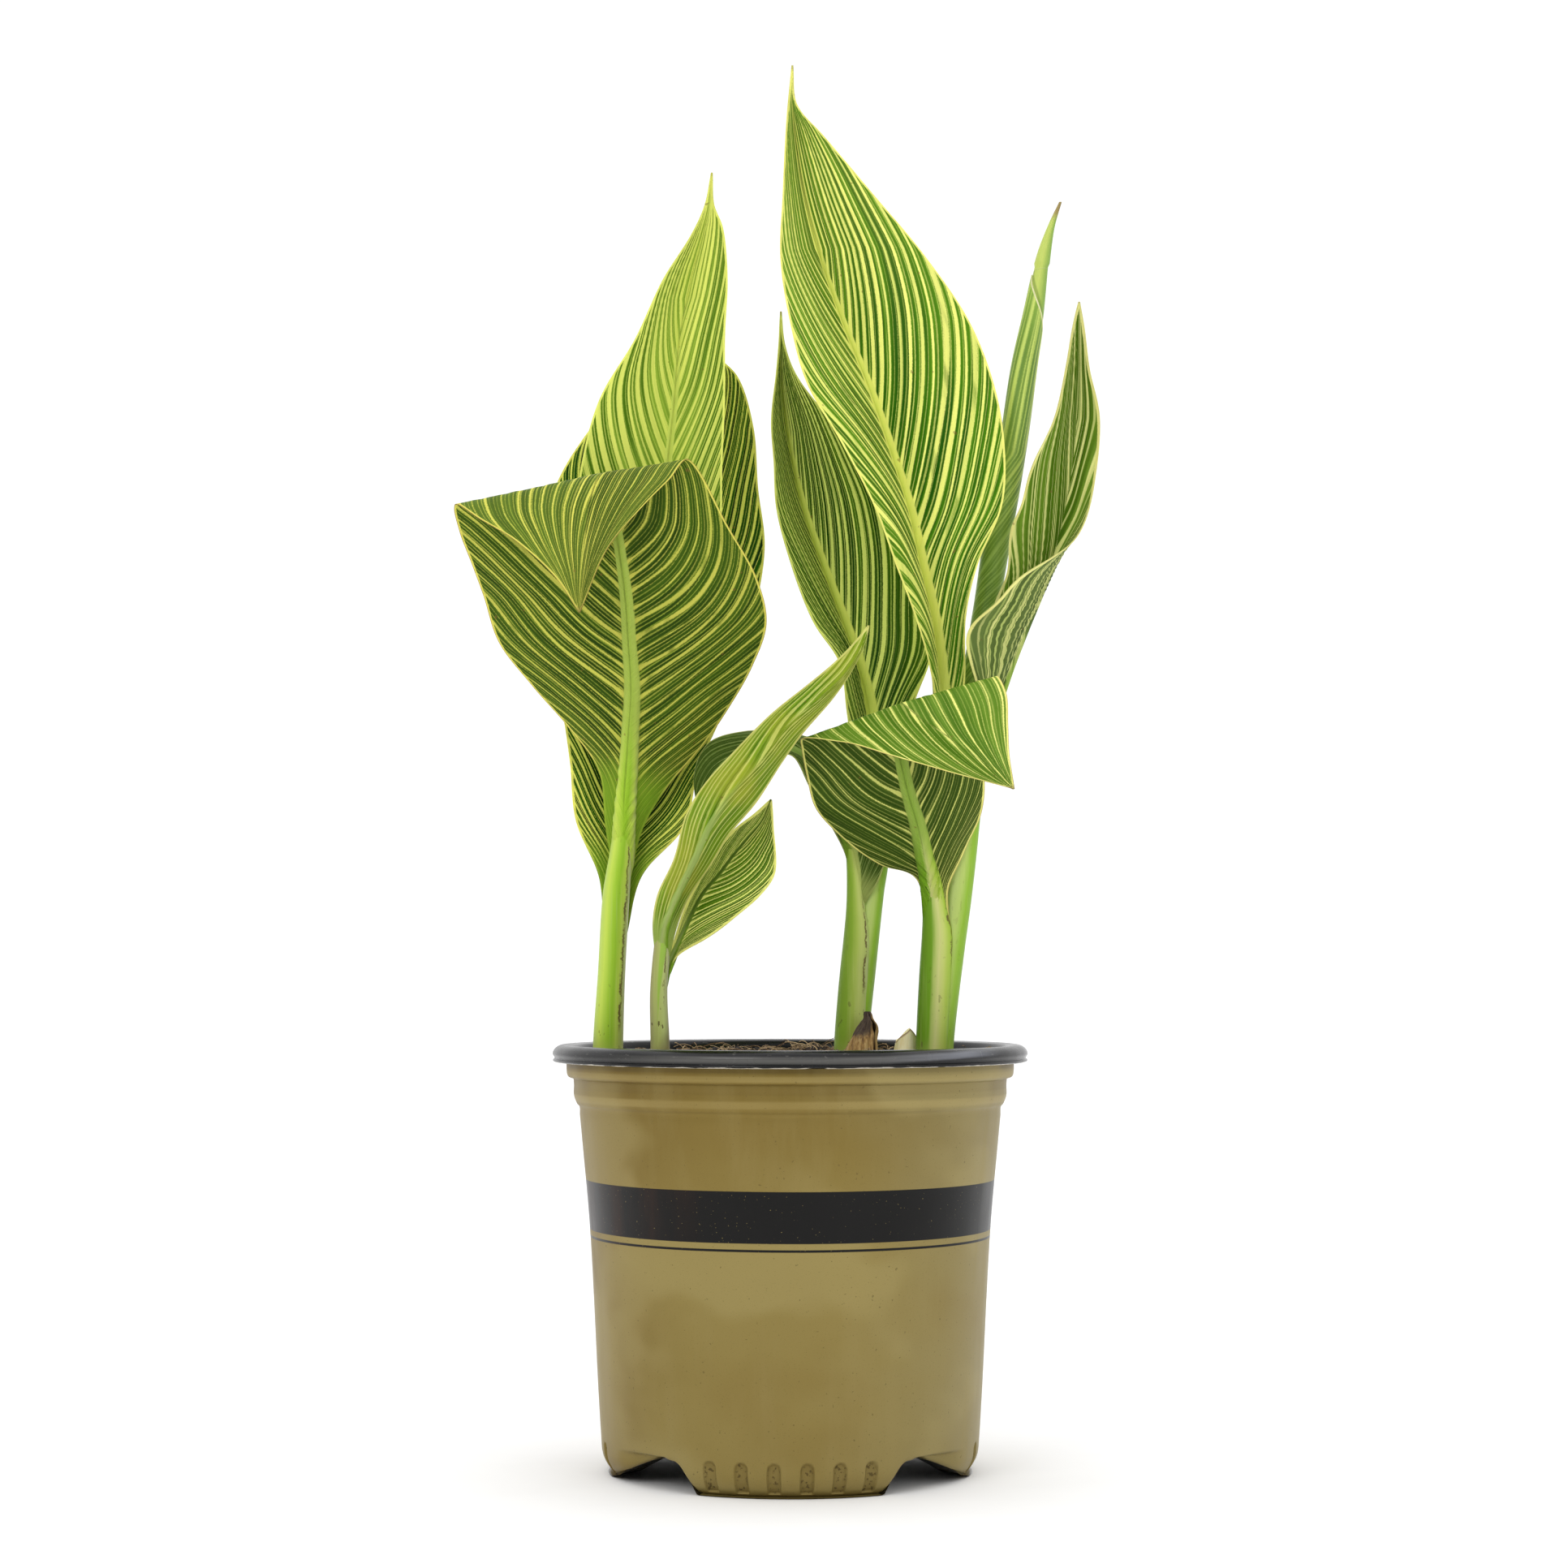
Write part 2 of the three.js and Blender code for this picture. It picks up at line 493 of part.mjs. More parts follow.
const lumps = (x, y) => 1.3 * Math.sin(x / 13 + 0.6) * Math.cos(y / 11) + 0.8 * Math.sin(x / 5.3 + y / 6.1)
  + 1.4 * Math.exp(-((x / 45) ** 2 + ((y - 10) / 50) ** 2));

function soilRing(radius, height) {
  return Array.from({ length: SOIL_SIDES }, (_, i) => {
    const angle = (i / SOIL_SIDES) * 2 * Math.PI;
    const [x, y] = [radius * Math.cos(angle), radius * Math.sin(angle)];
    return vec(x, y, height ?? SOIL_TOP + lumps(x, y));
  });
}

// The side of the mix follows the inside of the pot: radius, height. Its top is a set of rings that close in.
const clearance = POT_WALL + GAP;
const SOIL_SIDE = [[2, FLOOR_Z + GAP], [75, FLOOR_Z + GAP], [76.6, FLOOR_Z + 2.2],
  ...WALL.slice(3, 6).map(([r, z]) => [r - clearance, z]), [88.5, 152.4], [89.1, 164]];
const SOIL_TOP_RINGS = [88.6, 76, 62, 47, 31, 14];

const soilRings = [...SOIL_SIDE.map(([r, z]) => soilRing(r, z)), ...SOIL_TOP_RINGS.map((r) => soilRing(r))];
const remains = [rod(HUSK, GAP), rod(STUB, GAP)];
const holes = union([...Object.keys(STEMS).map((name) => stemSolid(name, GAP)), ...remains]);

// ---- Assembly --------------------------------------------------------------------------------------

piece("pot", pot, 0x8f7f45, 0.42, 0.35);
piece("soil", clearOf(loft(soilRings), holes), 0x3b2a1e, 0.95);
for (const name of Object.keys(STEMS)) piece(name, stemSolid(name), 0x8fb23f, 0.45);
for (const [name, leaf] of Object.entries(LEAVES)) {
  piece(name, clearOf(bladeSolid(leaf), stemSolid(leaf.stem, GAP)), leaf.colour, 0.45);
}
piece("leaf_right_spear", rod(SPEAR, 0, SEAM_STEP), 0x4f8a24, 0.4);
piece("dried_husk", clearOf(rod(HUSK), rod(HUSK_HOLLOW)), 0x6b4f2c, 0.85);
piece("cut_stub", clearOf(rod(STUB), manifoldOf(stubCut)), 0xd9c88f, 0.7);

const centre = new THREE.Box3().setFromObject(object).getCenter(vec(0, 0, 0));
object.position.set(-centre.x, -centre.y, 0);

export default object;
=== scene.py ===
"""A young striped canna lily in its nursery pot, dressed around its solids. Lengths are in millimetres, as
grown and moulded, until a mesh is made, and colours are a paint chart's 0 to 255 values."""
import math

import bpy
import numpy as np
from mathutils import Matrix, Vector


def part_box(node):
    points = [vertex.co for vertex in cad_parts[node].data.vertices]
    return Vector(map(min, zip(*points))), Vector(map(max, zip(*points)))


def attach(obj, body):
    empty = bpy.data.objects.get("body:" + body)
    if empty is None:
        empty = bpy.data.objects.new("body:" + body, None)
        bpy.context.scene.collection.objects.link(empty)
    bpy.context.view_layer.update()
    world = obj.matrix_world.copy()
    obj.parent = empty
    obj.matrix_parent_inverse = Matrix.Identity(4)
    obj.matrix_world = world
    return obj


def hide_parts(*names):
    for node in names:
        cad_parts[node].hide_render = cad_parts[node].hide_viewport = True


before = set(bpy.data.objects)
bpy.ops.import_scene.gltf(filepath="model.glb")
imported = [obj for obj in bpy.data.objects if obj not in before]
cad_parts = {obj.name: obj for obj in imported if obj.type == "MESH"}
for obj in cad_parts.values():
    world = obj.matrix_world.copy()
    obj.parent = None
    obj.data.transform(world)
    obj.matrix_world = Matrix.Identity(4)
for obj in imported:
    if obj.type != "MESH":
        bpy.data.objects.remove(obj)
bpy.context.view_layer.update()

MM = 0.001

# ---- Pot ---------------------------------------------------------------------------------------
# One thin shell of black polypropylene, blow moulded: a rolled lip, a stepped collar, a tapering wall
# and a raised floor on four fluted feet. The outside is sprayed olive gold below the lip, then printed
# with a black band and a thin black line.

pot_low, pot_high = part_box("pot")
POT_AXIS = np.array([(pot_low.x + pot_high.x) / 2, (pot_low.y + pot_high.y) / 2, 0]) / MM

LIP_TOP = (pot_high.z - pot_low.z) / MM
FLOOR_UNDER = 13
FLOOR_TOP = 15
FOOT_INSIDE = 61.6  # radius of the feet's inner side
FOOT_EDGE = 76  # radius where a foot's sole turns up into the wall
ARCH_REACH = 22  # the arches bend the wall up to this height
FLOOR_RING = 72  # the floor bends with the arches outside this radius
ARCHES = (42, 138, 222, 318)  # degrees round from the front to the highest part of each arch
ARCH_STEEP = ((-20, -2), (-14.5, -2), (-13, 12.6), (-5.3, 12.6))  # flank of the front or back foot
ARCH_GENTLE = ((1.5, 12.6), (14, 12.6), (22, 4), (48, -1))  # flank of the side foot
FOOT_ROUNDING = 4.5
SCOOP = 6  # how far the side foot's end turns in under the wall
SCOOP_ENDS = ((22, 4), (-3, 1))  # degrees from the arch's top over which the scoop fades in, on either side
FLUTES = {0: 6, 90: 4, 180: 6, 270: 4}
FLUTE_PITCH = 9.7
FLUTE_HALF = 2.6
FLUTE_TOP = 14
FLUTE_DEPTH = 1.5
DRAIN = {"from_axis": 70, "radius": 4.5, "depth": 1.9}
BAND = (101, 121.6)
LINE = (97.6, 98.6)


def rail(points, along):
    """A smooth curve through the points, at each value of along from 0 to 1."""
    points = np.asarray(points, float)
    knots = np.vstack([2 * points[0] - points[1], points, 2 * points[-1] - points[-2]])
    spot = np.clip(along, 0, 1) * (len(points) - 1)
    span = np.minimum(spot.astype(int), len(points) - 2)
    t = (spot - span)[:, None]
    p0, p1, p2, p3 = (knots[span + k] for k in range(4))
    pairs = ((p0, p1), (p1, p2), (p2, p3))
    d0, d1, d2 = (np.sum((b - a) ** 2, axis=1, keepdims=True) ** 0.25 for a, b in pairs)
    m1 = ((p1 - p0) / d0 - (p2 - p0) / (d0 + d1) + (p2 - p1) / d1) * d1
    m2 = ((p2 - p1) / d1 - (p3 - p1) / (d1 + d2) + (p3 - p2) / d2) * d1
    return p1 + m1 * t + (3 * (p2 - p1) - 2 * m1 - m2) * t**2 + (2 * (p1 - p2) + m1 + m2) * t**3


def smooth(value, low, high):
    """0 at low and 1 at high, whichever of them is the larger, with soft ends."""
    t = np.clip((value - low) / (high - low), 0, 1)
    return t * t * (3 - 2 * t)


def strips(rows, columns):
    """Quads over a grid of rows by columns, whose last column joins its first."""
    row, column = np.meshgrid(np.arange(rows - 1), np.arange(columns), indexing="ij")
    here, beside = row * columns + column, row * columns + (column + 1) % columns
    return np.stack([here, beside, beside + columns, here + columns], axis=-1).reshape(-1, 4).tolist()


def piece(name, node, slot, material, points, faces, marks, crease=50):
    """A mesh object from points in millimetres from the pot's axis. `marks` are values at its points."""
    mesh = bpy.data.meshes.new(name)
    mesh.from_pydata(((points + POT_AXIS) * MM).tolist(), [], faces)
    for mark, values in marks.items():
        values = np.asarray(values, np.float32)
        kind, key = ("FLOAT_VECTOR", "vector") if values.ndim > 1 else ("FLOAT", "value")
        mesh.attributes.new(mark, kind, "POINT").data.foreach_set(key, values.ravel())
    mesh.materials.append(material)
    mesh.validate()
    mesh.shade_smooth()
    mesh.set_sharp_from_angle(angle=math.radians(crease))
    made = bpy.data.objects.new(name, mesh)
    bpy.context.scene.collection.objects.link(made)
    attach(made, "root")
    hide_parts(node)


class Value:
    """A socket in a material. Sums written with it add Math nodes."""

    def __init__(self, finish, socket):
        self.finish, self.socket = finish, socket

    def __add__(self, other):
        return self.finish.math("ADD", self, other)

    def __sub__(self, other):
        return self.finish.math("SUBTRACT", self, other)

    def __rsub__(self, other):
        return self.finish.math("SUBTRACT", other, self)

    def __mul__(self, other):
        return self.finish.math("MULTIPLY", self, other)

    def __truediv__(self, other):
        return self.finish.math("DIVIDE", self, other)

    def __abs__(self):
        return self.finish.math("ABSOLUTE", self)

    __radd__, __rmul__ = __add__, __mul__


def tint(*chart):
    """A paint chart's red, green and blue, each 0 to 255, as light."""
    shares = [value / 255 for value in chart]
    return (*(c / 12.92 if c <= 0.04045 else ((c + 0.055) / 1.055) ** 2.4 for c in shares), 1)


class Finish:
    """The nodes of a material round its one shader, or of the world round its background."""

    def __init__(self, name, store=bpy.data.materials, shader="Principled BSDF", **sockets):
        self.made = store.new(name)
        self.made.use_nodes = True
        self.tree = self.made.node_tree
        self.shader = self.tree.nodes[shader]
        self.shade(**sockets)

    def feed(self, socket, value):
        if isinstance(value, Value):
            self.tree.links.new(value.socket, socket)
        else:
            socket.default_value = tint(*value) if socket.type == "RGBA" else value

    def shade(self, **sockets):
        for name, value in sockets.items():
            self.feed(self.shader.inputs[name.replace("_", " ")], value)

    def node(self, kind, settings, sockets, output=0):
        made = self.tree.nodes.new(kind)
        for setting, value in settings.items():
            if setting == "stops":
                ramp = made.color_ramp
                while len(ramp.elements) < len(value):
                    ramp.elements.new(1)
                for element, (position, colour) in zip(ramp.elements, value):
                    element.position, element.color = position, tint(*colour)
            else:
                setattr(made, setting, value)
        for socket, value in sockets.items():
            self.feed(made.inputs[socket], value)
        return Value(self, made.outputs[output])

    def math(self, operation, *terms):
        return self.node("ShaderNodeMath", {"operation": operation}, dict(enumerate(terms)))

    def mark(self, name, output="Fac"):
        return self.node("ShaderNodeAttribute", {"attribute_name": name}, {}, output)

    def place(self, output="Object"):
        return self.node("ShaderNodeTexCoord", {}, {}, output)

    def part(self, vector, axis):
        return self.node("ShaderNodeSeparateXYZ", {}, {"Vector": vector}, axis)

    def vector(self, x, y, z):
        return self.node("ShaderNodeCombineXYZ", {}, {"X": x, "Y": y, "Z": z})

    def stretch(self, vector, scale, shift=(0, 0, 0)):
        return self.node("ShaderNodeMapping", {}, {"Vector": vector, "Scale": scale, "Location": shift})

    def noise(self, vector, scale=1.0, detail=2.0, roughness=0.5):
        sockets = {"Vector": vector, "Scale": scale, "Detail": detail, "Roughness": roughness}
        return self.node("ShaderNodeTexNoise", {}, sockets)

    def ease(self, value, low, high):
        """0 below low and 1 above high, or the other way round."""
        least, most = min(low, high), max(low, high)
        sockets = {"Value": value, "From Min": least, "From Max": most}
        eased = self.node("ShaderNodeMapRange", {"interpolation_type": "SMOOTHSTEP"}, sockets)
        return eased if low < high else 1 - eased

    def between(self, value, low, high, soft):
        return self.ease(value, low - soft, low + soft) * self.ease(value, high + soft, high - soft)

    def mix(self, share, below, above):
        return self.node("ShaderNodeMix", {"data_type": "RGBA"}, {0: share, 6: below, 7: above}, 2)

    def coats(self, colour, *coats):
        """Colours laid over a first one, each by its share."""
        for share, coat in coats:
            colour = self.mix(share, colour, coat)
        return colour

    def ramp(self, value, stops):
        return self.node("ShaderNodeValToRGB", {"stops": stops}, {"Fac": value})

    def bump(self, height, depth, strength=1.0):
        """Low relief, `depth` millimetres high where `height` is 1."""
        sockets = {"Strength": strength, "Distance": depth * MM, "Height": height}
        self.shade(Normal=self.node("ShaderNodeBump", {}, sockets))


def bezier(corners):
    t = np.linspace(0, 1, 24)[:, None]
    a, b, c, d = (np.array(corner, float) for corner in corners)
    return a * (1 - t) ** 3 + 3 * b * t * (1 - t) ** 2 + 3 * c * t**2 * (1 - t) + d * t**3


def pot_angles():
    """Degrees round from the front, close together at the flutes' and the arches' edges."""
    half_flute = [0.7, 1.35, 1.7, 1.95, 2.2, 2.5, 3.7]
    across_flute = [-offset for offset in half_flute[::-1]] + [0] + half_flute
    angles = [facing + (k - (count - 1) / 2) * FLUTE_PITCH + offset
              for facing, count in FLUTES.items() for k in range(count) for offset in across_flute]
    for k, arch in enumerate(ARCHES):
        offsets = [*np.arange(-16.5, -3.5, 0.8), *np.arange(-2, 32, 1.6)]
        angles += [arch + (-offset if k % 2 else offset) for offset in offsets]
    angles = np.unique(np.round(np.mod(angles, 360), 2))
    return angles[np.append(np.diff(angles) > 0.12, True)]


def pot_outline():
    """Radius, height and how thickly paint lies there, round the wall's section from under the floor."""
    def run(count, *points):
        points = [(r, 0, z) for r, z in points]
        return rail(points, np.linspace(0, 1, count))[:, [0, 2]]

    foot = np.column_stack([np.linspace(63.8, FOOT_EDGE, 10), np.zeros(10)])
    toe = run(6, (FOOT_EDGE, 0), (77.1, 0.5), (77.8, 1.6), (78.1, 3))
    fluted = run(34, (78.1, 3), (78.6, 8), (79.1, 15), (79.4, 19))
    wall = run(22, (79.4, 19), (80.5, 37), (84, 101), (87.4, 138), (88.4, 148.4))
    bead = run(26, (88.4, 148.4), (88.5, 151.6), (89, 152.4), (89.5, 152.9), (89.9, 153.7), (90.7, 155.7),
               (91, 157.4), (90.9, 160.4), (91.1, 163.4))
    collar = run(14, (91.1, 163.4), (91.9, 163.8), (93.1, 164.2), (93.7, 165), (94, 166.6), (94.1, 170.6))
    under_lip = run(6, (94.1, 170.6), (95.8, 170.5), (98.2, 170.4), (99.2, 170.6))
    lip = run(40, (99.2, 170.6), (99.7, 171), (99.6, 171.6), (99.1, 172), (99.2, 172.6), (99.8, 173.6),
              (99.7, 174.8), (98.6, 176.4), (96.4, LIP_TOP), (93.4, 177.4), (91.2, 176.9), (90.2, 175.2))
    inside = run(12, (90.2, 175.2), (89.6, 164), (87, 149.6), (82.4, 101), (78.9, 37), (77.2, 17))
    floor = np.array([(75.4, FLOOR_TOP), (40, FLOOR_TOP), (1, FLOOR_TOP)])
    under = np.array([(1, FLOOR_UNDER), (30, FLOOR_UNDER), (FOOT_INSIDE - 0.1, FLOOR_UNDER), (61.9, 12),
                      (62.4, 6), (63, 0.8)])
    runs = [(under, 0), (foot, 0.35), (toe, 1), (fluted, 1), (wall, 1), (bead, 1), (collar, 1),
            (under_lip, 0.25), (lip, 0), (inside, 0), (floor, 0)]
    outline = np.vstack([np.column_stack([points, np.full(len(points), paint)]) for points, paint in runs])
    step = np.linalg.norm(np.diff(outline[:, :2], axis=0), axis=1)
    return outline[np.append(True, step > 1e-6)]


def pot_mesh():
    outline, angles = pot_outline(), pot_angles()
    radius, height, paint = (np.repeat(column[:, None], len(angles), 1) for column in outline.T)
    around = np.repeat(angles[None], len(outline), 0)
    outer = np.arange(len(outline))[:, None] > np.argmax(outline[:, 0] >= FOOT_EDGE)

    edge = np.vstack([bezier(ARCH_STEEP), bezier(ARCH_GENTLE)])
    lift, inward = np.zeros_like(radius), np.zeros_like(radius)
    for k, arch in enumerate(ARCHES):
        off = ((around - arch + 180) % 360 - 180) * (-1 if k % 2 else 1)
        rise = np.interp(radius * np.sin(np.radians(off)), *edge.T, left=0, right=0)
        lift = np.maximum(lift, np.where(np.abs(off) < 60, rise, 0))
        inward = np.maximum(inward, smooth(off, *SCOOP_ENDS[0]) * smooth(off, *SCOOP_ENDS[1]))
    ceiling = np.where(outer, ARCH_REACH, FLOOR_UNDER)
    raised = lift + height * (1 - lift / ceiling)
    height = np.where((height < ceiling) & (radius > FOOT_INSIDE), raised, height)
    radius = radius - SCOOP * inward * smooth(height, 14.2, 12.8) * (outer | (radius > FLOOR_RING))
    radius = radius - FOOT_ROUNDING * np.clip(1 - height / 10, 0, 1) ** 2 * (outer & (radius > 60))

    flute = np.zeros_like(radius)
    fluted = outer & (radius > FOOT_EDGE - 1) & (height < ARCH_REACH - 2) & (lift < 6)
    for facing, count in FLUTES.items():
        for k in range(count):
            off = (around - facing - (k - (count - 1) / 2) * FLUTE_PITCH + 180) % 360 - 180
            side = np.radians(off) * radius
            shoulder = np.maximum(height - (FLUTE_TOP - FLUTE_HALF), 0)
            flute = np.maximum(flute, smooth(FLUTE_HALF - np.hypot(side, shoulder), -0.35, 0.55))
    flute *= fluted
    radius = radius - FLUTE_DEPTH * flute
    height = height + 0.7 * flute * smooth(height, 3, 0)

    ringed = (radius > 63.5) & (radius < FOOT_EDGE + 0.2) & ~outer
    for arch in ARCHES:
        off = np.radians((around - arch + 180) % 360 - 180)
        away = np.hypot(radius * np.cos(off) - DRAIN["from_axis"], radius * np.sin(off))
        hole = smooth(away, DRAIN["radius"] + 0.3, DRAIN["radius"] - 0.3)
        height = height + ringed * DRAIN["depth"] * hole

    turn = np.radians(around)
    points = np.stack([radius * np.sin(turn), -radius * np.cos(turn), height], axis=-1).reshape(-1, 3)
    faces = strips(len(outline), len(angles))
    under, over = len(points), len(points) + 1
    points = np.vstack([points, [0, 0, FLOOR_UNDER], [0, 0, FLOOR_TOP]])
    top = under - len(angles)
    for k in range(len(angles)):
        beside = (k + 1) % len(angles)
        faces += [[under, beside, k], [over, top + k, top + beside]]
    marks = {"paint": np.append(paint.ravel(), [0, 0]), "flute": np.append(flute.ravel(), [0, 0])}
    return points, faces, marks


def pot_finish():
    shine = {"IOR": 1.5, "Specular_IOR_Level": 0.18, "Coat_Roughness": 0.12}
    finish = Finish("olive gold paint on black plastic", **shine)
    place = finish.place()
    x, y, height = (finish.part(place, axis) / MM for axis in range(3))
    paint, flute = finish.mark("paint"), finish.mark("flute")
    cloudy = finish.noise(finish.stretch(place, (13, 13, 20)), detail=3, roughness=0.55)
    streaky = finish.noise(finish.stretch(place, (60, 60, 9), (3, 1, 7)), detail=4, roughness=0.6)
    speckled = finish.noise(place, 1900, detail=1)
    blotches = finish.noise(finish.stretch(place, (10, 10, 15), (5, 2, 1)), detail=3)
    dust = finish.noise(finish.stretch(place, (1, 1, 1), (9, 4, 2)), 760, detail=1)
    pits = finish.ease(finish.noise(place, 620, detail=2), 0.57, 0.66) * flute
    steps = finish.between(height, 154.2, 157.2, 0.6) + finish.between(height, 164.8, 167.2, 0.6)
    gold = finish.coats(
        (139, 122, 68),
        (finish.ease(height + (cloudy - 0.5) * 60, 90, 150) * 0.85, (122, 102, 46)),
        # Painted light and shade: the gold is painted lighter towards the right and darker towards the
        # left.
        (finish.ease(x + (cloudy - 0.5) * 90, 10, 95) * 0.75, (141, 129, 86)),
        (finish.ease(x + (cloudy - 0.5) * 110, -30, -85) * 0.75, (116, 95, 40)),
        # Painted highlights on the collar's two `steps`.
        (steps * 0.36, (172, 154, 98)),
        # Painted shade in the shallow band between the two steps.
        (finish.between(height, 159.6, 163.6, 0.6) * 0.3, (100, 82, 40)),
        # Painted shadow under the lip.
        (finish.ease(height, 167.6, 169) * 0.5, (74, 60, 32)),
        (finish.ease(blotches, 0.5, 0.62) * 0.4, (128, 108, 54)),
        (finish.ease(blotches, 0.46, 0.36) * 0.35, (164, 150, 98)),
        (finish.ease(streaky, 0.45, 0.75) * 0.25, (154, 138, 88)),
        (finish.ease(speckled, 0.62, 0.75) * 0.2, (92, 78, 42)),
        (flute * 0.3, (120, 102, 54)),
        (pits * 0.75, (78, 64, 34)),
        (finish.ease(dust, 0.735, 0.77) * 0.5, (84, 72, 42)))

    wander = (finish.noise(finish.stretch(place, (9, 9, 0)), detail=1) - 0.5) * 0.5
    printed = finish.between(height + wander, *BAND, 0.14) + finish.between(height + wander, *LINE, 0.14)
    missed = finish.ease(finish.noise(place, 1500, detail=0), 0.8, 0.85)
    rusty = finish.ease(x + (cloudy - 0.5) * 60, -20, -60)
    ink = finish.mix(rusty * finish.ease(streaky, 0.35, 0.65) * 0.8, (13, 12, 11), (44, 26, 17))
    wall = finish.mix(printed * (1 - missed * 0.5), gold, ink)

    dull = finish.ease(finish.noise(place, 55, detail=4), 0.45, 0.7)
    flash = finish.between(height + finish.noise(place, 160, detail=3) * 1.2, 170.7, 171.35, 0.12)
    broken = finish.ease(finish.noise(place, 90, detail=2), 0.36, 0.48)
    # A painted highlight: a light band across the front of the lip, higher, lighter and bluer towards the
    # right, and none at the far left, the far right or the back.
    rightward = finish.ease(x, 30, 90)
    painted_lip_highlight = finish.between(height + (cloudy - 0.5) * 2 - rightward * 1.8, 172.6, 175.2, 0.7)
    painted_lip_highlight = painted_lip_highlight * finish.ease(x, -85, -35) * finish.ease(x, 92, 72) * finish.ease(y, 0, -20)
    scuffs = finish.noise(finish.stretch(place, (300, 300, 900), (2, 2, 2)), detail=3)
    black = finish.coats(
        finish.mix(dull, (7, 7, 8), (16, 16, 18)),
        (flash * broken * 0.9, (200, 194, 182)),
        (painted_lip_highlight * 0.75, finish.mix(rightward, (94, 93, 90), (134, 137, 146))),
        (finish.ease(scuffs, 0.66, 0.74) * 0.35 * (1 - paint), (120, 118, 112)))
    colour = finish.mix(finish.ease(paint + (streaky - 0.5) * 0.25, 0.3, 0.7), black, wall)

    painted = finish.ease(paint, 0.4, 0.6) * (1 - printed)
    rough = 0.24 + painted * 0.18 + finish.ease(streaky, 0.4, 0.7) * 0.08 + printed * 0.06 + flute * 0.2
    glossy = 1 - finish.ease(paint, 0.3, 0.6)
    finish.shade(Base_Color=colour, Metallic=painted * 0.35, Coat_Weight=glossy * 0.2, Roughness=rough)
    ripple = finish.noise(finish.stretch(place, (26, 26, 40)), detail=2)
    finish.bump(ripple * 1.4 + speckled * 0.04 + pits * 0.8, 0.45, 0.6)
    return finish.made


piece("nursery_pot", "pot", "pot_plastic", pot_finish(), *pot_mesh(), crease=40)

# ---- Potting mix -------------------------------------------------------------------------------
# Moist dark peat and coir, filled to just under the lip and pressed down: crumbs of bark lie on it and
# pale coir fibres stick out of it.

SOIL_TOP = 171.9
SOIL_SIDE = [(2, 15.3), (75, 15.3), (76.6, 17.2), (78.6, 37), (82.1, 101), (86.7, 149.6), (88.5, 152.4),
             (89.1, 164)]  # radius and height, up the inside of the pot
SOIL_WAVES = ((0.71, 0.33, 0), (-0.42, 0.83, 2), (1.3, -0.9, 1), (0.9, 1.7, 4), (2.1, 0.8, 3),
              (-1.8, 2.3, 5))  # radians a mm across and back, and where each begins
CRUMBS = 2600
CRUMB_CORNERS = 5  # round each of a crumb's two rings
FIBRES = 460
FIBRE_RINGS = 6


def lumps(x, y):
    """The wide hollows and heaps of the surface, highest in the middle."""
    low = 1.3 * np.sin(x / 13 + 0.6) * np.cos(y / 11) + 0.8 * np.sin(x / 5.3 + y / 6.1)
    return low + 1.1 * np.exp(-((x / 45) ** 2 + ((y - 10) / 50) ** 2))


def crumble(x, y):
    """Its small unevenness."""
    return 0.34 * sum(np.sin(x * f + y * g + p) / (1 + k * 0.35) for k, (f, g, p) in enumerate(SOIL_WAVES))


def lids(rings, sides):
    """The two flat ends of a closed grid of rings."""
    return [list(range(sides))[::-1], list(range((rings - 1) * sides, rings * sides))]


def shifted(faces, first):
    return [[first + k for k in face] for face in faces]


def crumb_shape():
    """A lump with a peak above, a peak below and two rings of corners between them."""
    turn = 2 * math.pi / CRUMB_CORNERS
    high = [(math.cos(k * turn), math.sin(k * turn), 0.45) for k in range(CRUMB_CORNERS)]
    low = [(math.cos((k + 0.5) * turn), math.sin((k + 0.5) * turn), -0.45) for k in range(CRUMB_CORNERS)]
    ring = [(2 + k, 2 + (k + 1) % CRUMB_CORNERS) for k in range(CRUMB_CORNERS)]
    faces = [[0, here, beside] for here, beside in ring]
    faces += [[1, beside + CRUMB_CORNERS, here + CRUMB_CORNERS] for here, beside in ring]
    faces += [[here, here + CRUMB_CORNERS, beside] for here, beside in ring]
    faces += [[here + CRUMB_CORNERS, beside + CRUMB_CORNERS, beside] for here, beside in ring]
    return np.array([(0, 0, 1), (0, 0, -1), *high, *low]), faces


def fibre(chance):
    """A bent thread that rises out of the mix and comes down again."""
    r, a = 87 * math.sqrt(chance.random()), chance.random() * 2 * math.pi
    start = np.array([r * math.cos(a), r * math.sin(a), 0])
    start[2] = SOIL_TOP + lumps(*start[:2]) - 0.6
    heading, length = chance.random() * 2 * math.pi, chance.uniform(4, 13)
    rise = chance.uniform(0.02, 0.42) * length
    along = np.linspace(0, 1, FIBRE_RINGS)
    bend = chance.uniform(-0.9, 0.9)
    path = start + np.column_stack([length * along * np.cos(heading + bend * along),
                                    length * along * np.sin(heading + bend * along),
                                    0.7 + rise * np.sin(along * math.pi * chance.uniform(0.5, 0.95))])
    away = np.hypot(path[:, 0], path[:, 1])
    path[:, :2] *= np.minimum(1, 88 / away)[:, None]
    thick = chance.uniform(0.14, 0.32)
    ring = np.array([(math.cos(k * 2.094), math.sin(k * 2.094)) for k in range(3)]) * thick
    side = np.array([-math.sin(heading), math.cos(heading), 0])
    points = path[:, None] + ring[None, :, :1] * side + ring[None, :, 1:] * np.array([0, 0, 1])
    return points.reshape(-1, 3)


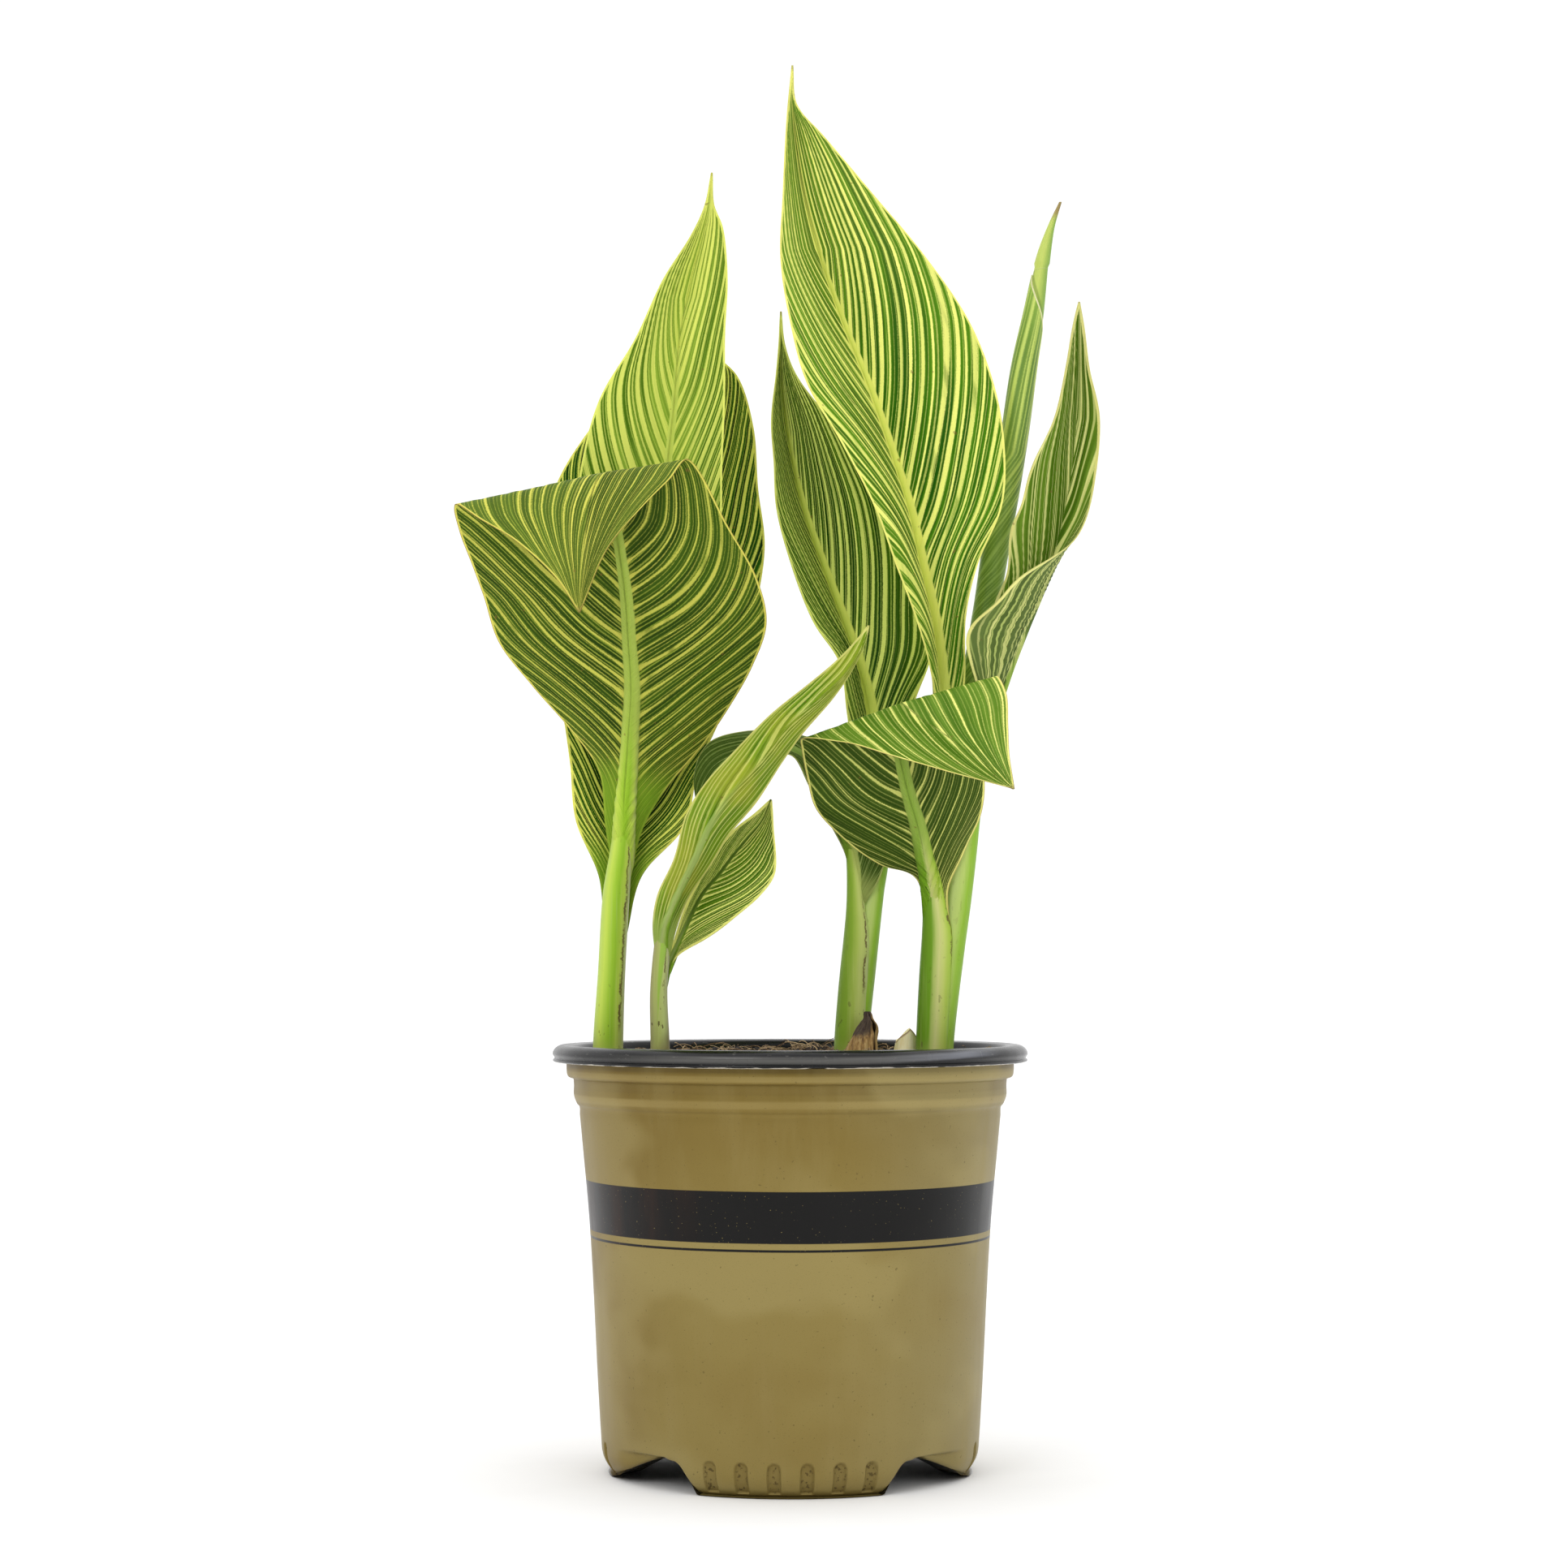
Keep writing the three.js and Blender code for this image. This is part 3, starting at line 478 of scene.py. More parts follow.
def soil_mesh():
    chance = np.random.default_rng(11)
    turns = np.linspace(0, 2 * math.pi, 160, endpoint=False)
    east, north = np.cos(turns), np.sin(turns)
    rings = [np.column_stack([r * east, r * north, np.full(len(turns), z)]) for r, z in SOIL_SIDE]
    for r in np.linspace(88.6, 1.5, 58):
        x, y = r * east, r * north
        rings.append(np.column_stack([x, y, SOIL_TOP + lumps(x, y) + crumble(x, y) - 0.4]))
    points = [np.vstack(rings)]
    faces = strips(len(rings), len(turns)) + lids(len(rings), len(turns))
    shade = [np.full(len(points[0]), 0.25)]
    used = len(points[0])

    corners, crumb_faces = crumb_shape()
    for _ in range(CRUMBS):
        r, a = 88 * math.sqrt(chance.random()), chance.random() * 2 * math.pi
        x, y = r * math.cos(a), r * math.sin(a)
        size = 0.5 + 2.1 * chance.random() ** 3
        grain = corners * (size * chance.uniform(0.6, 1.25, 3))
        grain = grain * chance.uniform(0.75, 1.2, (len(corners), 1))
        turn = chance.random() * math.pi
        x2 = grain[:, 0] * math.cos(turn) - grain[:, 1] * math.sin(turn)
        y2 = grain[:, 0] * math.sin(turn) + grain[:, 1] * math.cos(turn)
        z = SOIL_TOP + lumps(x, y) + crumble(x, y) - 0.2
        points.append(np.column_stack([x + x2, y + y2, z + grain[:, 2] * 0.8]))
        faces += shifted(crumb_faces, used)
        shade.append(np.full(len(corners), chance.random() ** 1.6 * 0.8))
        used += len(corners)

    thread_faces = strips(FIBRE_RINGS, 3) + lids(FIBRE_RINGS, 3)
    for _ in range(FIBRES):
        points.append(fibre(chance))
        faces += shifted(thread_faces, used)
        shade.append(np.full(len(points[-1]), chance.uniform(0.85, 1.25)))
        used += len(points[-1])
    return np.vstack(points), faces, {"shade": np.concatenate(shade)}


def soil_finish():
    finish = Finish("peat and coir", Roughness=0.92)
    place = finish.place()
    coarse = finish.noise(place, 420, detail=5, roughness=0.7)
    browns = [(0, (14, 10, 8)), (0.28, (36, 26, 19)), (0.55, (60, 44, 32)), (0.8, (120, 94, 66)),
              (1, (184, 158, 120))]
    finish.shade(Base_Color=finish.ramp(finish.mark("shade") * 0.7 + coarse * 0.55 - 0.12, browns))
    finish.bump(coarse, 0.6)
    return finish.made


piece("potting_mix", "soil", "potting_mix", soil_finish(), *soil_mesh(), crease=30)

# ---- Shoots ------------------------------------------------------------------------------------
# Four shoots stand in the mix. Each is a false stem of leaf stalks wrapped tightly round each other,
# smooth and waxy, with the outer stalk's edges showing as seams.

FOOT_Z = 150  # how deep the stalks reach
STALK_SIDES = 40


def tube(path, rings):
    """A round rod that tapers, from [x, y, z, radius] stations, with its flat ends closed."""
    line = rail(path, np.linspace(0, 1, rings))
    turn = np.linspace(0, 2 * math.pi, STALK_SIDES, endpoint=False)
    side, front = np.sin(turn), np.cos(turn)
    x, y, z, radius = (line[:, k, None] for k in range(4))
    points = np.stack([x + radius * side, y - radius * front, np.repeat(z, STALK_SIDES, 1)], axis=-1)
    faces = strips(rings, STALK_SIDES) + lids(rings, STALK_SIDES)
    return points.reshape(-1, 3), faces, {"side": np.tile(side, rings), "front": np.tile(front, rings)}


def join(parts):
    """Several (points, faces, marks) as one. The mark "rod" is the number of the part each point is of."""
    used, faces = 0, []
    for points, these, _ in parts:
        faces += shifted(these, used)
        used += len(points)
    marks = {mark: np.concatenate([part[2][mark] for part in parts]) for mark in parts[0][2]}
    marks["rod"] = np.repeat(np.arange(len(parts)), [len(part[0]) for part in parts])
    return np.vstack([part[0] for part in parts]), faces, marks


def stalk_finish(name, skins, speckles, blush, sheath, wedge=None):
    """Waxy stalk skin. `skins` are the colours across each stalk from left to right as seen from the front,
    the stalk's own colours with painted light and shade in them, `speckles` and `blush` how strongly it
    is flecked and browned, `sheath` where across the front stalk and from what height to what height the
    torn brown edge of an old sheath shows, and `wedge` from what height up a green stalk shows between its
    sheath's edges, and where it ends."""
    finish = Finish(name, IOR=1.42, Specular_IOR_Level=0.2)
    place, rod = finish.place(), finish.mark("rod")
    height = finish.part(place, "Z") / MM
    in_front = finish.ease(finish.mark("front"), 0, 0.15)
    lines = finish.noise(finish.stretch(place, (700, 700, 14)), detail=3, roughness=0.6)
    cloudy = finish.noise(finish.stretch(place, (60, 60, 25)), detail=3)
    across = finish.mark("side") * 0.5 + 0.5 + (lines - 0.5) * 0.14 + (cloudy - 0.5) * 0.12
    skin = finish.ramp(across, skins[0])
    flecked = finish.noise(finish.stretch(place, (1, 1, 0.45), (4, 4, 4)), 520, detail=2)
    specks = finish.ease(flecked, 0.67, 0.71) * (finish.ease(height, 215, 178) * 0.75 + 0.25)

    torn = finish.noise(finish.stretch(place, (30, 30, 160), (1, 6, 2)), detail=4, roughness=0.7)
    line = across + (torn - 0.5) * 0.3 - sheath[0]
    worn = finish.ease(torn, 0.36, 0.5) * finish.between(height, *sheath[1:], 4) * in_front
    if len(skins) > 1:
        skin = finish.mix(rod, skin, finish.ramp(across, skins[1]))
        worn = worn * rod
    colour = finish.coats(
        skin,
        (finish.ease(lines, 0.5, 0.75) * 0.2, (196, 208, 128)),
        (finish.ease(cloudy, 0.5, 0.75) * blush, (116, 104, 70)),
        (specks * speckles, (78, 56, 32)),
        (finish.ease(abs(line), 0.045, 0.01) * worn * 0.85, (90, 64, 38)),
        (finish.between(line, 0.05, 0.16, 0.03) * worn * 0.35, (196, 198, 150)))
    if wedge:
        share = (height - wedge[0]) * (1 / (wedge[1] - wedge[0]))
        shown = finish.ease(abs(across - 0.45 - share * 0.2) - share * 0.24, 0.04, -0.04)
        colour = finish.mix(shown * in_front * 0.75, colour, (146, 188, 60))
    colour = finish.mix(finish.ease(height, 182, 172) * 0.3, colour, (186, 180, 116))
    finish.shade(Base_Color=colour, Roughness=0.36 + lines * 0.12)
    finish.bump(lines + cloudy * 0.8, 0.25, 0.6)
    return finish.made


def shoot(name, node, stalks, rings, **look):
    skin = stalk_finish(name.replace("_", " ") + " skin", **look)
    piece(name, node, "stem_green", skin, *join([tube(path, rings) for path in stalks]))


# Each skin runs across its stalk from left to right as seen from the front; its lighter and darker stops
# are partly the stalk's own colours and partly painted light and shade.
LIME_SKIN = [(0, (180, 204, 96)), (0.2, (196, 218, 88)), (0.46, (160, 200, 54)), (0.62, (146, 190, 44)),
             (0.8, (186, 212, 80)), (1, (178, 188, 112))]
LEFT_STALK = [(-77, 0, FOOT_Z, 6.4), (-76.8, 0, 176, 6.4), (-75.4, 0, 207, 5.8), (-73.4, -1, 241, 5.7),
              (-71.4, -2, 258, 4.9), (-69.8, -4.2, 272, 4), (-68.4, -8, 288, 2.4)]
shoot("left_shoot", "stem_left", [LEFT_STALK], 80,
      skins=[LIME_SKIN], speckles=0.5, blush=0.05, sheath=(0.88, 185, 262))

MOTTLED_SKIN = [(0, (150, 146, 96)), (0.3, (166, 174, 98)), (0.55, (178, 190, 106)), (0.8, (190, 204, 124)),
                (1, (178, 182, 128))]
SMALL_STALK = [(-54, -22, FOOT_Z, 4.1), (-54, -22, 177, 4), (-54.6, -22, 200, 3.6),
               (-53.4, -22.8, 217, 3.4), (-52.4, -24.2, 228, 2.7), (-49.6, -27.8, 240, 1.6)]
shoot("small_shoot", "stem_small", [SMALL_STALK], 60,
      skins=[MOTTLED_SKIN], speckles=0.9, blush=0.85, sheath=(0.8, 196, 222), wedge=(188, 226))

GREY_GREEN_SKIN = [(0, (124, 160, 44)), (0.3, (138, 172, 52)), (0.5, (168, 190, 82)),
                   (0.7, (192, 204, 112)), (0.88, (186, 198, 112)), (1, (168, 184, 96))]
REAR_SKIN = [(0, (158, 190, 78)), (0.35, (188, 208, 122)), (0.6, (184, 206, 108)), (0.8, (144, 186, 54)),
             (1, (130, 172, 46))]
MIDDLE_STALKS = [
    [(26.5, 11.5, FOOT_Z, 6.2), (27, 11.5, 176, 6.2), (31, 10.8, 210, 5.6), (35, 9, 241, 4.9),
     (37.6, 9.2, 256, 4.2), (37, 10, 268, 2.4)],
    [(25.2, 9.6, FOOT_Z, 6.7), (25.4, 9.6, 176, 6.8), (26.3, 9, 195, 6.4), (27.3, 7.8, 209, 6.1),
     (28.2, 6.6, 223, 5.5), (27.8, 5, 236, 4), (27.1, 3.6, 248, 3.1), (25.4, 2.4, 260, 1.8)]]
shoot("middle_shoot", "stem_middle", MIDDLE_STALKS, 60,
      skins=[REAR_SKIN, GREY_GREEN_SKIN], speckles=0.6, blush=0.16, sheath=(0.86, 200, 238))

TWO_TONE_SKIN = [(0, (106, 150, 30)), (0.33, (116, 162, 34)), (0.42, (176, 196, 100)),
                 (0.56, (206, 210, 132)), (0.72, (192, 206, 104)), (0.88, (164, 192, 64)),
                 (1, (134, 170, 42))]
RIGHT_STALKS = [
    [(62, 0.4, FOOT_Z, 6.3), (62.6, 0.4, 176, 6.3), (66.8, 0.2, 215, 6.6), (70.2, -1, 238, 6.3),
     (72.6, -2, 258, 6.2), (75.7, -1, 286, 5.9), (77.8, 0, 301, 5), (79, 0.4, 312, 2.4)],
    [(59.2, -4, FOOT_Z, 6.5), (59.4, -4, 176, 6.6), (61, -4.4, 206, 6.8), (61.9, -5, 224, 6.5),
     (60.8, -6.4, 237, 5), (59.4, -8.6, 247, 4.2), (57, -13, 257, 3.4), (54.4, -18, 266, 2.2)]]
shoot("right_shoot", "stem_right", RIGHT_STALKS, 72,
      skins=[REAR_SKIN, TWO_TONE_SKIN], speckles=0.6, blush=0.04, sheath=(0.93, 212, 236))

# ---- Leaves ------------------------------------------------------------------------------------
# Each leaf is one soft living blade that grows out of the top of its stalk, with a thick midrib that stands
# out below. Side veins sweep from the midrib to the tip, and stripes of yellow run along them between
# greens. The edge is a thin yellow line.

BLADE_HALF = 0.4  # half the blade's thickness at the midrib
EDGE_HALF = 0.2
TIP_HALF = 0.35
NARROW = 15  # edges ripple only where half the blade is wider than this
LAST_VEIN = 0.72  # past here no more side veins set out, and the last ones run on to the tip
VEIN_SPREAD = 0.75
PALE_SKIN = [(0, (206, 220, 104)), (0.5, (228, 236, 130)), (1, (198, 214, 98))]


def veins(run, along, across, sweep):
    """Where on the midrib, in mm from the foot, the side vein through each point sets out. `sweep` has, for
    the left and for the right half, (place along the leaf, slope near the midrib, slope near the edge)."""
    start = np.zeros((len(run), len(across)))
    centre = len(across) // 2
    start[:, centre] = run
    for side, step in ((0, -1), (1, 1)):
        places, *slopes = np.transpose(sweep[side])
        inner, outer = (np.interp(along, places, slope) for slope in slopes)
        for column in range(centre + step, -1 if step < 0 else len(across), step):
            advance = abs(across[column] - across[column - step])
            reached = abs(across[column]) - advance / 2
            slope = inner + (outer - inner) * np.clip((reached - 0.2) / 0.6, 0, 1)
            back = run - run[-1] * slope * advance
            start[:, column] = np.interp(back, run, start[:, column - step]) + np.minimum(0, back)
    last = np.searchsorted(along, LAST_VEIN)
    for row in range(last + 1, len(run)):
        past = (along[row] - along[last]) / (1 - along[last])
        start[row] = np.interp(across * (1 - VEIN_SPREAD * past), across, start[last])
    return start


def both_faces(over, under):
    """Values of a thin shell's two faces: each row runs out along one face and back along the other."""
    return np.concatenate([over, under[:, ::-1]], axis=1).reshape(-1, *over.shape[2:])


def thin_shell(over, under):
    """Points and faces of a closed shell between two grids of points, with its two narrow ends."""
    rows, count = len(over), 2 * over.shape[1]
    faces = strips(rows, count)
    for first, flip in ((0, True), ((rows - 1) * count, False)):
        for k in range(over.shape[1] - 1):
            cap = [first + k, first + k + 1, first + count - 2 - k, first + count - 1 - k]
            faces.append(cap[::-1] if flip else cap)
    return both_faces(over, under), faces


def blade(rows, tip, rib, under, belly, wave, sweep, steps=190, columns=30, pleat=0.22, fan=None):
    """Rows across the blade are [left edge, midrib, right edge] from the foot to the tip. `rib` is the
    midrib's half width and height at the foot, `under` the side it stands out on, `belly` how far each half
    arches, `wave` the rise of its edges and how many ripples they have, `sweep` the slopes of its side
    veins, and `pleat` how far the blade rises between them. Past a fold the upper face can have veins that
    `fan` out evenly: (where it begins, how far they drift to the left edge, how close they are)."""
    rows = np.array(rows, float)
    sideways = rows[-1][2] - rows[-1][0]
    sideways *= TIP_HALF / np.linalg.norm(sideways)
    rows = np.concatenate([rows, [[tip - sideways, tip, tip + sideways]]])

    def rails(at):
        return [rail(rows[:, side], at) for side in range(3)]

    along = np.linspace(0, 1, steps)
    share = np.linspace(0, 1, columns + 1) ** 1.15
    across = np.concatenate([-share[:0:-1], share])
    left, middle, right = rails(along)
    ahead = rails(np.clip(along + 0.01, 0, 1))[1] - rails(np.clip(along - 0.01, 0, 1))[1]
    normal = np.cross(ahead, right - left)
    normal /= np.linalg.norm(normal, axis=1, keepdims=True)

    u, v = np.meshgrid(along, across, indexing="ij")
    out, on_left = np.abs(v), v < 0
    reach = np.where(on_left[..., None], (left - middle)[:, None], (right - middle)[:, None])
    width = np.linalg.norm(reach, axis=2)
    wide = np.minimum(1, width / NARROW)
    arch = np.where(on_left, *belly)
    if fan:
        arch = arch * smooth(u, fan[0] + 0.06, fan[0] - 0.12)
    ripple = wave[0] * wide * out**3 * np.sin(wave[1] * 2 * math.pi * u + np.where(on_left, 0, 2))
    lift = arch * width * 4 * out * (1 - out) + ripple

    run = np.append(0, np.cumsum(np.linalg.norm(np.diff(middle, axis=0), axis=1)))
    vein = veins(run, along, across, sweep)
    pleats = np.sin(vein * 2 * math.pi / 9.1) + 0.7 * np.sin(vein * 2 * math.pi / 5.7 + 1.3)
    pleats = pleats + 0.5 * np.sin(vein * 0.31 + 2)
    lift = lift + pleat * pleats * smooth(out, 0.02, 0.25) * smooth(out, 1, 0.8) * wide
    middle_face = middle[:, None] + reach * out[..., None] + normal[:, None] * lift[..., None]

    facing = np.cross(np.gradient(middle_face, axis=0), np.gradient(middle_face, axis=1))
    facing /= np.maximum(np.linalg.norm(facing, axis=2, keepdims=True), 1e-9)
    facing *= under
    rib_half = rib[0] * (1 - u) + 0.5
    spread = width * out / rib_half
    ridge = rib[1] * (1 - u) ** 1.2 * np.sqrt(np.maximum(0, 1 - spread**2)) * smooth(u, -0.01, 0.1)
    channel = 0.14 * rib_half * np.maximum(0, 1 - (spread / 1.15) ** 2) ** 2
    half = EDGE_HALF + (BLADE_HALF - EDGE_HALF) * smooth(1 - out, 0, 0.3)
    upper = middle_face - facing * (half - channel)[..., None]
    lower = middle_face + facing * (half + ridge)[..., None]
    points, faces = thin_shell(upper, lower)
    if under < 0:
        faces = [face[::-1] for face in faces]

    upper_vein = vein
    if fan:
        past = np.clip((u - fan[0]) / (1 - fan[0]), 0, 1)
        flap = (v + fan[1] * past * (1 - v) / 2) * width[np.searchsorted(along, fan[0])].max() * fan[2]
        upper_vein = np.where(u > fan[0] - 0.1, flap, vein)

    def both(value):
        return both_faces(value, value)

    lane = [both_faces(upper_vein, vein), both(width * out), both(np.where(on_left, 0, 40))]
    marks = {"lane": np.stack(lane, axis=-1), "edge": both(width * (1 - out)), "along": both(u),
             "rib": both(spread * np.sign(v)), "below": both_faces(np.zeros_like(u), np.ones_like(u))}
    return points, faces, marks


def stripes(finish, x, y, side, spacing, width, seed, ragged, flare):
    """Lines along the side veins, `spacing` and `width` mm apart and wide on average. Returns where they
    are, where their paler borders are, and three chances that belong to each line."""
    x = x / spacing
    drift = finish.noise(finish.vector(x * 0.45, y / 70, side + seed), 1, 1)
    phase = x + (drift - 0.5) * 1.3
    line = finish.math("FLOOR", phase)
    spot = finish.vector(line, side, seed)
    chance = finish.node("ShaderNodeTexWhiteNoise", {"noise_dimensions": "3D"}, {"Vector": spot}, "Color")
    luck = [finish.node("ShaderNodeSeparateColor", {}, {"Color": chance}, k) for k in range(3)]
    swell = finish.noise(finish.vector(line * 3.7, y / 11, side + seed), 1, 2)
    crowd = finish.noise(finish.vector(line * 0.23, side, seed + 5), 1, 1)
    half = width * (0.3 + luck[0] * 0.6) * (0.5 + swell * 0.4 + crowd * 0.8) * 0.5 + flare
    away = abs(phase - line - 0.5) * spacing - half + ragged
    soft = 0.1 + 0.015 * spacing
    here = finish.ease(swell + luck[1] * 0.3, 0.36, 0.5)
    border = finish.ease(away, 0.3 + 0.14 * spacing, -0.1)
    return finish.ease(away, soft, -soft) * (here * 0.6 + 0.4), border, luck


def leaf_finish(name, upper, lower, stripe, midrib, main, fine, seed, fade=0.7, outline=None, hem=1.0,
                foot=LIME_SKIN, plain=0.12, dry_tip=0.5, upper_scale=1.0, outer=0.1, sunny=0.0, fresh=0.0,
                pale_left=0.0, slim=0.0):
    """Striped blade skin. `upper` and `lower` are the dark and middle greens of the two faces, `main` and
    `fine` the spacing, width and strength of the stripes, which are `upper_scale` times as coarse on the
    upper face. `fade` is where along the leaf the midrib's colour ends, `plain` where the stripes begin,
    `hem` how wide the yellow edge is and `outline` the colour outside it, `foot` the skin that the midrib
    starts with, `dry_tip` how brown the tip is and `fresh` how light the leaf gets towards it, `outer` how
    much lighter the green gets towards the edge, `sunny` how yellow its blotches are, `pale_left` how much
    painted light lightens the left half of the upper face, and `slim` how many mm of each side its bold
    stripes lack."""
    finish = Finish(name, IOR=1.4, Specular_IOR_Level=0.1)
    lane, place = finish.mark("lane", "Vector"), finish.place()
    edge, rib = finish.mark("edge"), finish.mark("rib")
    below, along = finish.mark("below"), finish.mark("along")
    above, spread = 1 - below, abs(rib)
    x, y, side = (finish.part(lane, axis) for axis in range(3))
    if upper_scale != 1:
        x = x * (1 / upper_scale + below * (1 - 1 / upper_scale))

    ragged = (finish.noise(place, 1700, detail=2) - 0.5) * 0.7
    foot_flare = finish.ease(spread, 2.4, 1.0) * 0.5
    tipward = finish.ease(along, 0.5, 0.95) * fresh
    flare = foot_flare + tipward - above * slim
    bold, bold_border, luck = stripes(finish, x, y, side, *main[:2], seed, ragged, flare)
    thin, thin_border, lesser = stripes(finish, x, y, side, *fine[:2], seed + 31, ragged, foot_flare * 0.4)
    weave = finish.vector(x, y / 50, side + seed)
    bands = finish.noise(finish.stretch(weave, (1.6 / main[0], 1, 1)), 1, 3, 0.6)
    outermost = finish.ease(y / (y + edge + 0.1), 0.2, 0.95)
    tone = finish.ease(bands + ragged * 0.1 + (outermost - 0.4) * outer, 0.38, 0.64)
    hair = finish.ease(finish.noise(finish.stretch(weave, (1.2, 1, 1), (4, 9, 0)), 1), 0.44, 0.58)

    dark = finish.mix(below, upper[0], lower[0])
    middle = finish.mix(below, upper[1], lower[1])
    lime = finish.mix(0.5, finish.mix(0.5, middle, stripe), (118, 174, 20))
    streak = finish.mix(below * 0.22, stripe, middle)
    thin_tone = finish.mix(lesser[2] * 0.7 + 0.25, lime, streak)
    colour = finish.coats(
        finish.mix(tone, dark, middle),
        (hair * 0.3, dark),
        (tipward * 0.5, lime),
        # Painted light: the left half of the upper face is painted lighter.
        (finish.ease(side, 20, 10) * above * pale_left, lime),
        (thin_border * fine[2] * 0.08, lime),
        (thin * (0.5 + lesser[1] * 0.5 - tipward) * fine[2], thin_tone),
        (bold_border * 0.16, lime),
        (bold * (0.8 + luck[1] * 0.2) * main[2], finish.mix(luck[2] * 0.2, streak, lime)))
    if sunny:
        cloud = finish.noise(finish.stretch(place, (1, 1, 1), (5, 1, 3)), 26, detail=2)
        colour = finish.mix(finish.ease(cloud, 0.42, 0.6) * sunny, colour, (206, 198, 70))
    yellow = finish.mix(tone * 0.3, stripe, (205, 190, 90))
    colour = finish.mix(finish.ease(edge + ragged * 0.4, 1.15 * hem, 0.75 * hem), colour, yellow)
    if outline:
        colour = finish.mix(finish.ease(edge + ragged * 0.2, 0.34, 0.16) * 0.75, colour, outline)

    bare = finish.ease(along + (bands - 0.5) * 0.08, plain + 0.03, plain - 0.05)
    vane = finish.mix(finish.ease(spread, 0.75, 0.1) * 0.55, *midrib)
    # Near its foot the midrib takes the `foot` ramp across it; where that is a stalk's skin, its painted
    # light and shade come with it.
    vane = finish.mix(finish.ease(along, 0.3, 0.1), vane, finish.ramp(rib * 0.5 + 0.5, foot))
    shown = finish.ease(along, fade + 0.15, fade - 0.1)
    flecks = finish.ease(finish.noise(place, 330, detail=1), 0.755, 0.79)
    colour = finish.coats(
        colour,
        (bare * 0.85, finish.mix(hair * 0.2, finish.mix(0.7, middle, foot[-3][1]), dark)),
        (finish.ease(spread + ragged * 0.12, 1.1, 0.88) * shown, vane),
        (finish.ease(along + ragged * 0.008, 0.986, 0.997) * dry_tip, (122, 92, 60)),
        (flecks * 0.5, (120, 88, 46)))
    finish.shade(Base_Color=colour, Roughness=0.45 + below * 0.12 + tone * 0.06)
    finish.bump(hair * 0.5 + bold * 0.6 + bands * 0.8, 0.25, 0.7)
    return finish.made


def leaf(name, node, slot, shape, **look):
    skin = leaf_finish(name.replace("_", " ") + " skin", **look)
    piece(name, node, slot, skin, *blade(**shape), crease=60)


# The oldest leaf of the left shoot faces away and folds over forwards, so its underside shows below the
# fold and its upper face on the flap.
leaf("left_folded_leaf", "leaf_left_folded", "leaf_olive", dict(
    rib=(4.5, 5.2), under=-1, belly=(-0.07, -0.1), wave=(1, 3),
    sweep=(((0.2, 0.12, 0.2), (0.4, 0.2, 0.4), (0.6, 0.42, 0.46), (0.8, 0.75, 0.43)),
           ((0.2, 0.14, 0.24), (0.4, 0.2, 0.32), (0.6, 0.21, 0.3), (0.8, 0.74, 0.47))),
    tip=(-85, -71, 353), steps=230, columns=38, pleat=0.08, fan=(0.66, 0.5, 0.8),
    rows=[[(-74, -1, 246), (-71, -1, 246), (-68, -1, 246)],
          [(-78, -2, 269), (-70, -4, 269), (-62, -2, 269)],
          [(-81, -1, 293), (-68, -9, 291), (-52, -1, 286)],
          [(-94, -1, 312), (-67, -13, 309), (-36, -1, 305)],
          [(-109, -4, 329), (-66, -18, 326), (-25, -3, 321)],
          [(-123, -8, 347), (-67, -23, 346), (-16, -6, 337)],
          [(-129, -13, 366), (-68, -29, 364), (-10, -10, 355)],
          [(-133, -18, 378), (-70, -34, 380), (-14, -15, 373)],
          [(-138, -25, 392), (-73, -39, 398), (-26, -22, 394)],
          [(-139, -35, 401), (-77, -46, 413), (-42, -34, 420)],
          [(-128, -44, 394), (-81, -55, 402), (-50, -44, 411)],
          [(-112, -54, 384), (-83, -60, 387), (-62, -53, 397)],
          [(-96, -63, 369), (-84, -66, 370), (-74, -62, 380)]]),
     upper=((48, 74, 16), (80, 106, 32)), lower=((40, 64, 8), (64, 92, 18)),
     stripe=(228, 222, 98), midrib=((170, 190, 84), (144, 172, 58)), seed=3,
     main=(6.6, 1.7, 1), fine=(1.9, 0.72, 0.6), fade=0.62, plain=0.17, outline=(150, 116, 66),
     upper_scale=0.78, pale_left=0.15, slim=0.2)

# The young leaf behind it is still pale lime, more yellow than green.
leaf("left_young_leaf", "leaf_left_young", "leaf_lime", dict(
    rib=(3.2, 3.6), under=1, belly=(-0.08, -0.1), wave=(0.6, 2),
    sweep=(((0.2, 0.15, 0.2), (0.6, 0.24, 0.3), (0.8, 0.18, 0.4)),
           ((0.2, 0.15, 0.2), (0.6, 0.2, 0.27), (0.85, 0.8, 0.8))),
    tip=(-34, 25, 555), steps=210, columns=28,
    rows=[[(-74, 2, 245), (-72, 2, 245), (-70, 2, 245)],
          [(-73, 4, 269), (-71, 5, 269), (-69, 4, 269)],
          [(-72, 5, 293), (-68, 7, 293), (-63, 5, 293)],
          [(-76, 5, 321), (-65, 11, 323), (-54, 5, 323)],
          [(-87, 5, 355), (-60, 15, 358), (-39, 6, 362)],
          [(-92, 5, 389), (-56, 19, 392), (-30, 9, 396)],
          [(-90, 7, 420), (-53, 21, 424), (-29, 11, 426)],
          [(-82, 11, 453), (-50, 24, 454), (-28, 15, 454)],
          [(-67, 15, 480), (-48, 24, 481), (-28, 17, 482)],
          [(-55, 19, 507), (-43, 25, 508), (-27, 20, 508)],
          [(-43, 22, 527), (-38, 25, 528), (-29, 22, 530)],
          [(-37, 24, 541), (-35, 24, 541), (-33, 24, 541)]]),
     upper=((74, 114, 12), (144, 176, 56)), lower=((96, 128, 36), (140, 168, 70)),
     stripe=(240, 246, 118), midrib=((216, 230, 112), (206, 222, 98)), seed=9,
     main=(10, 6.4, 0.9), fine=(3.3, 1.6, 0.75), fade=0.62, dry_tip=0.3, outer=-0.25, fresh=0.35)

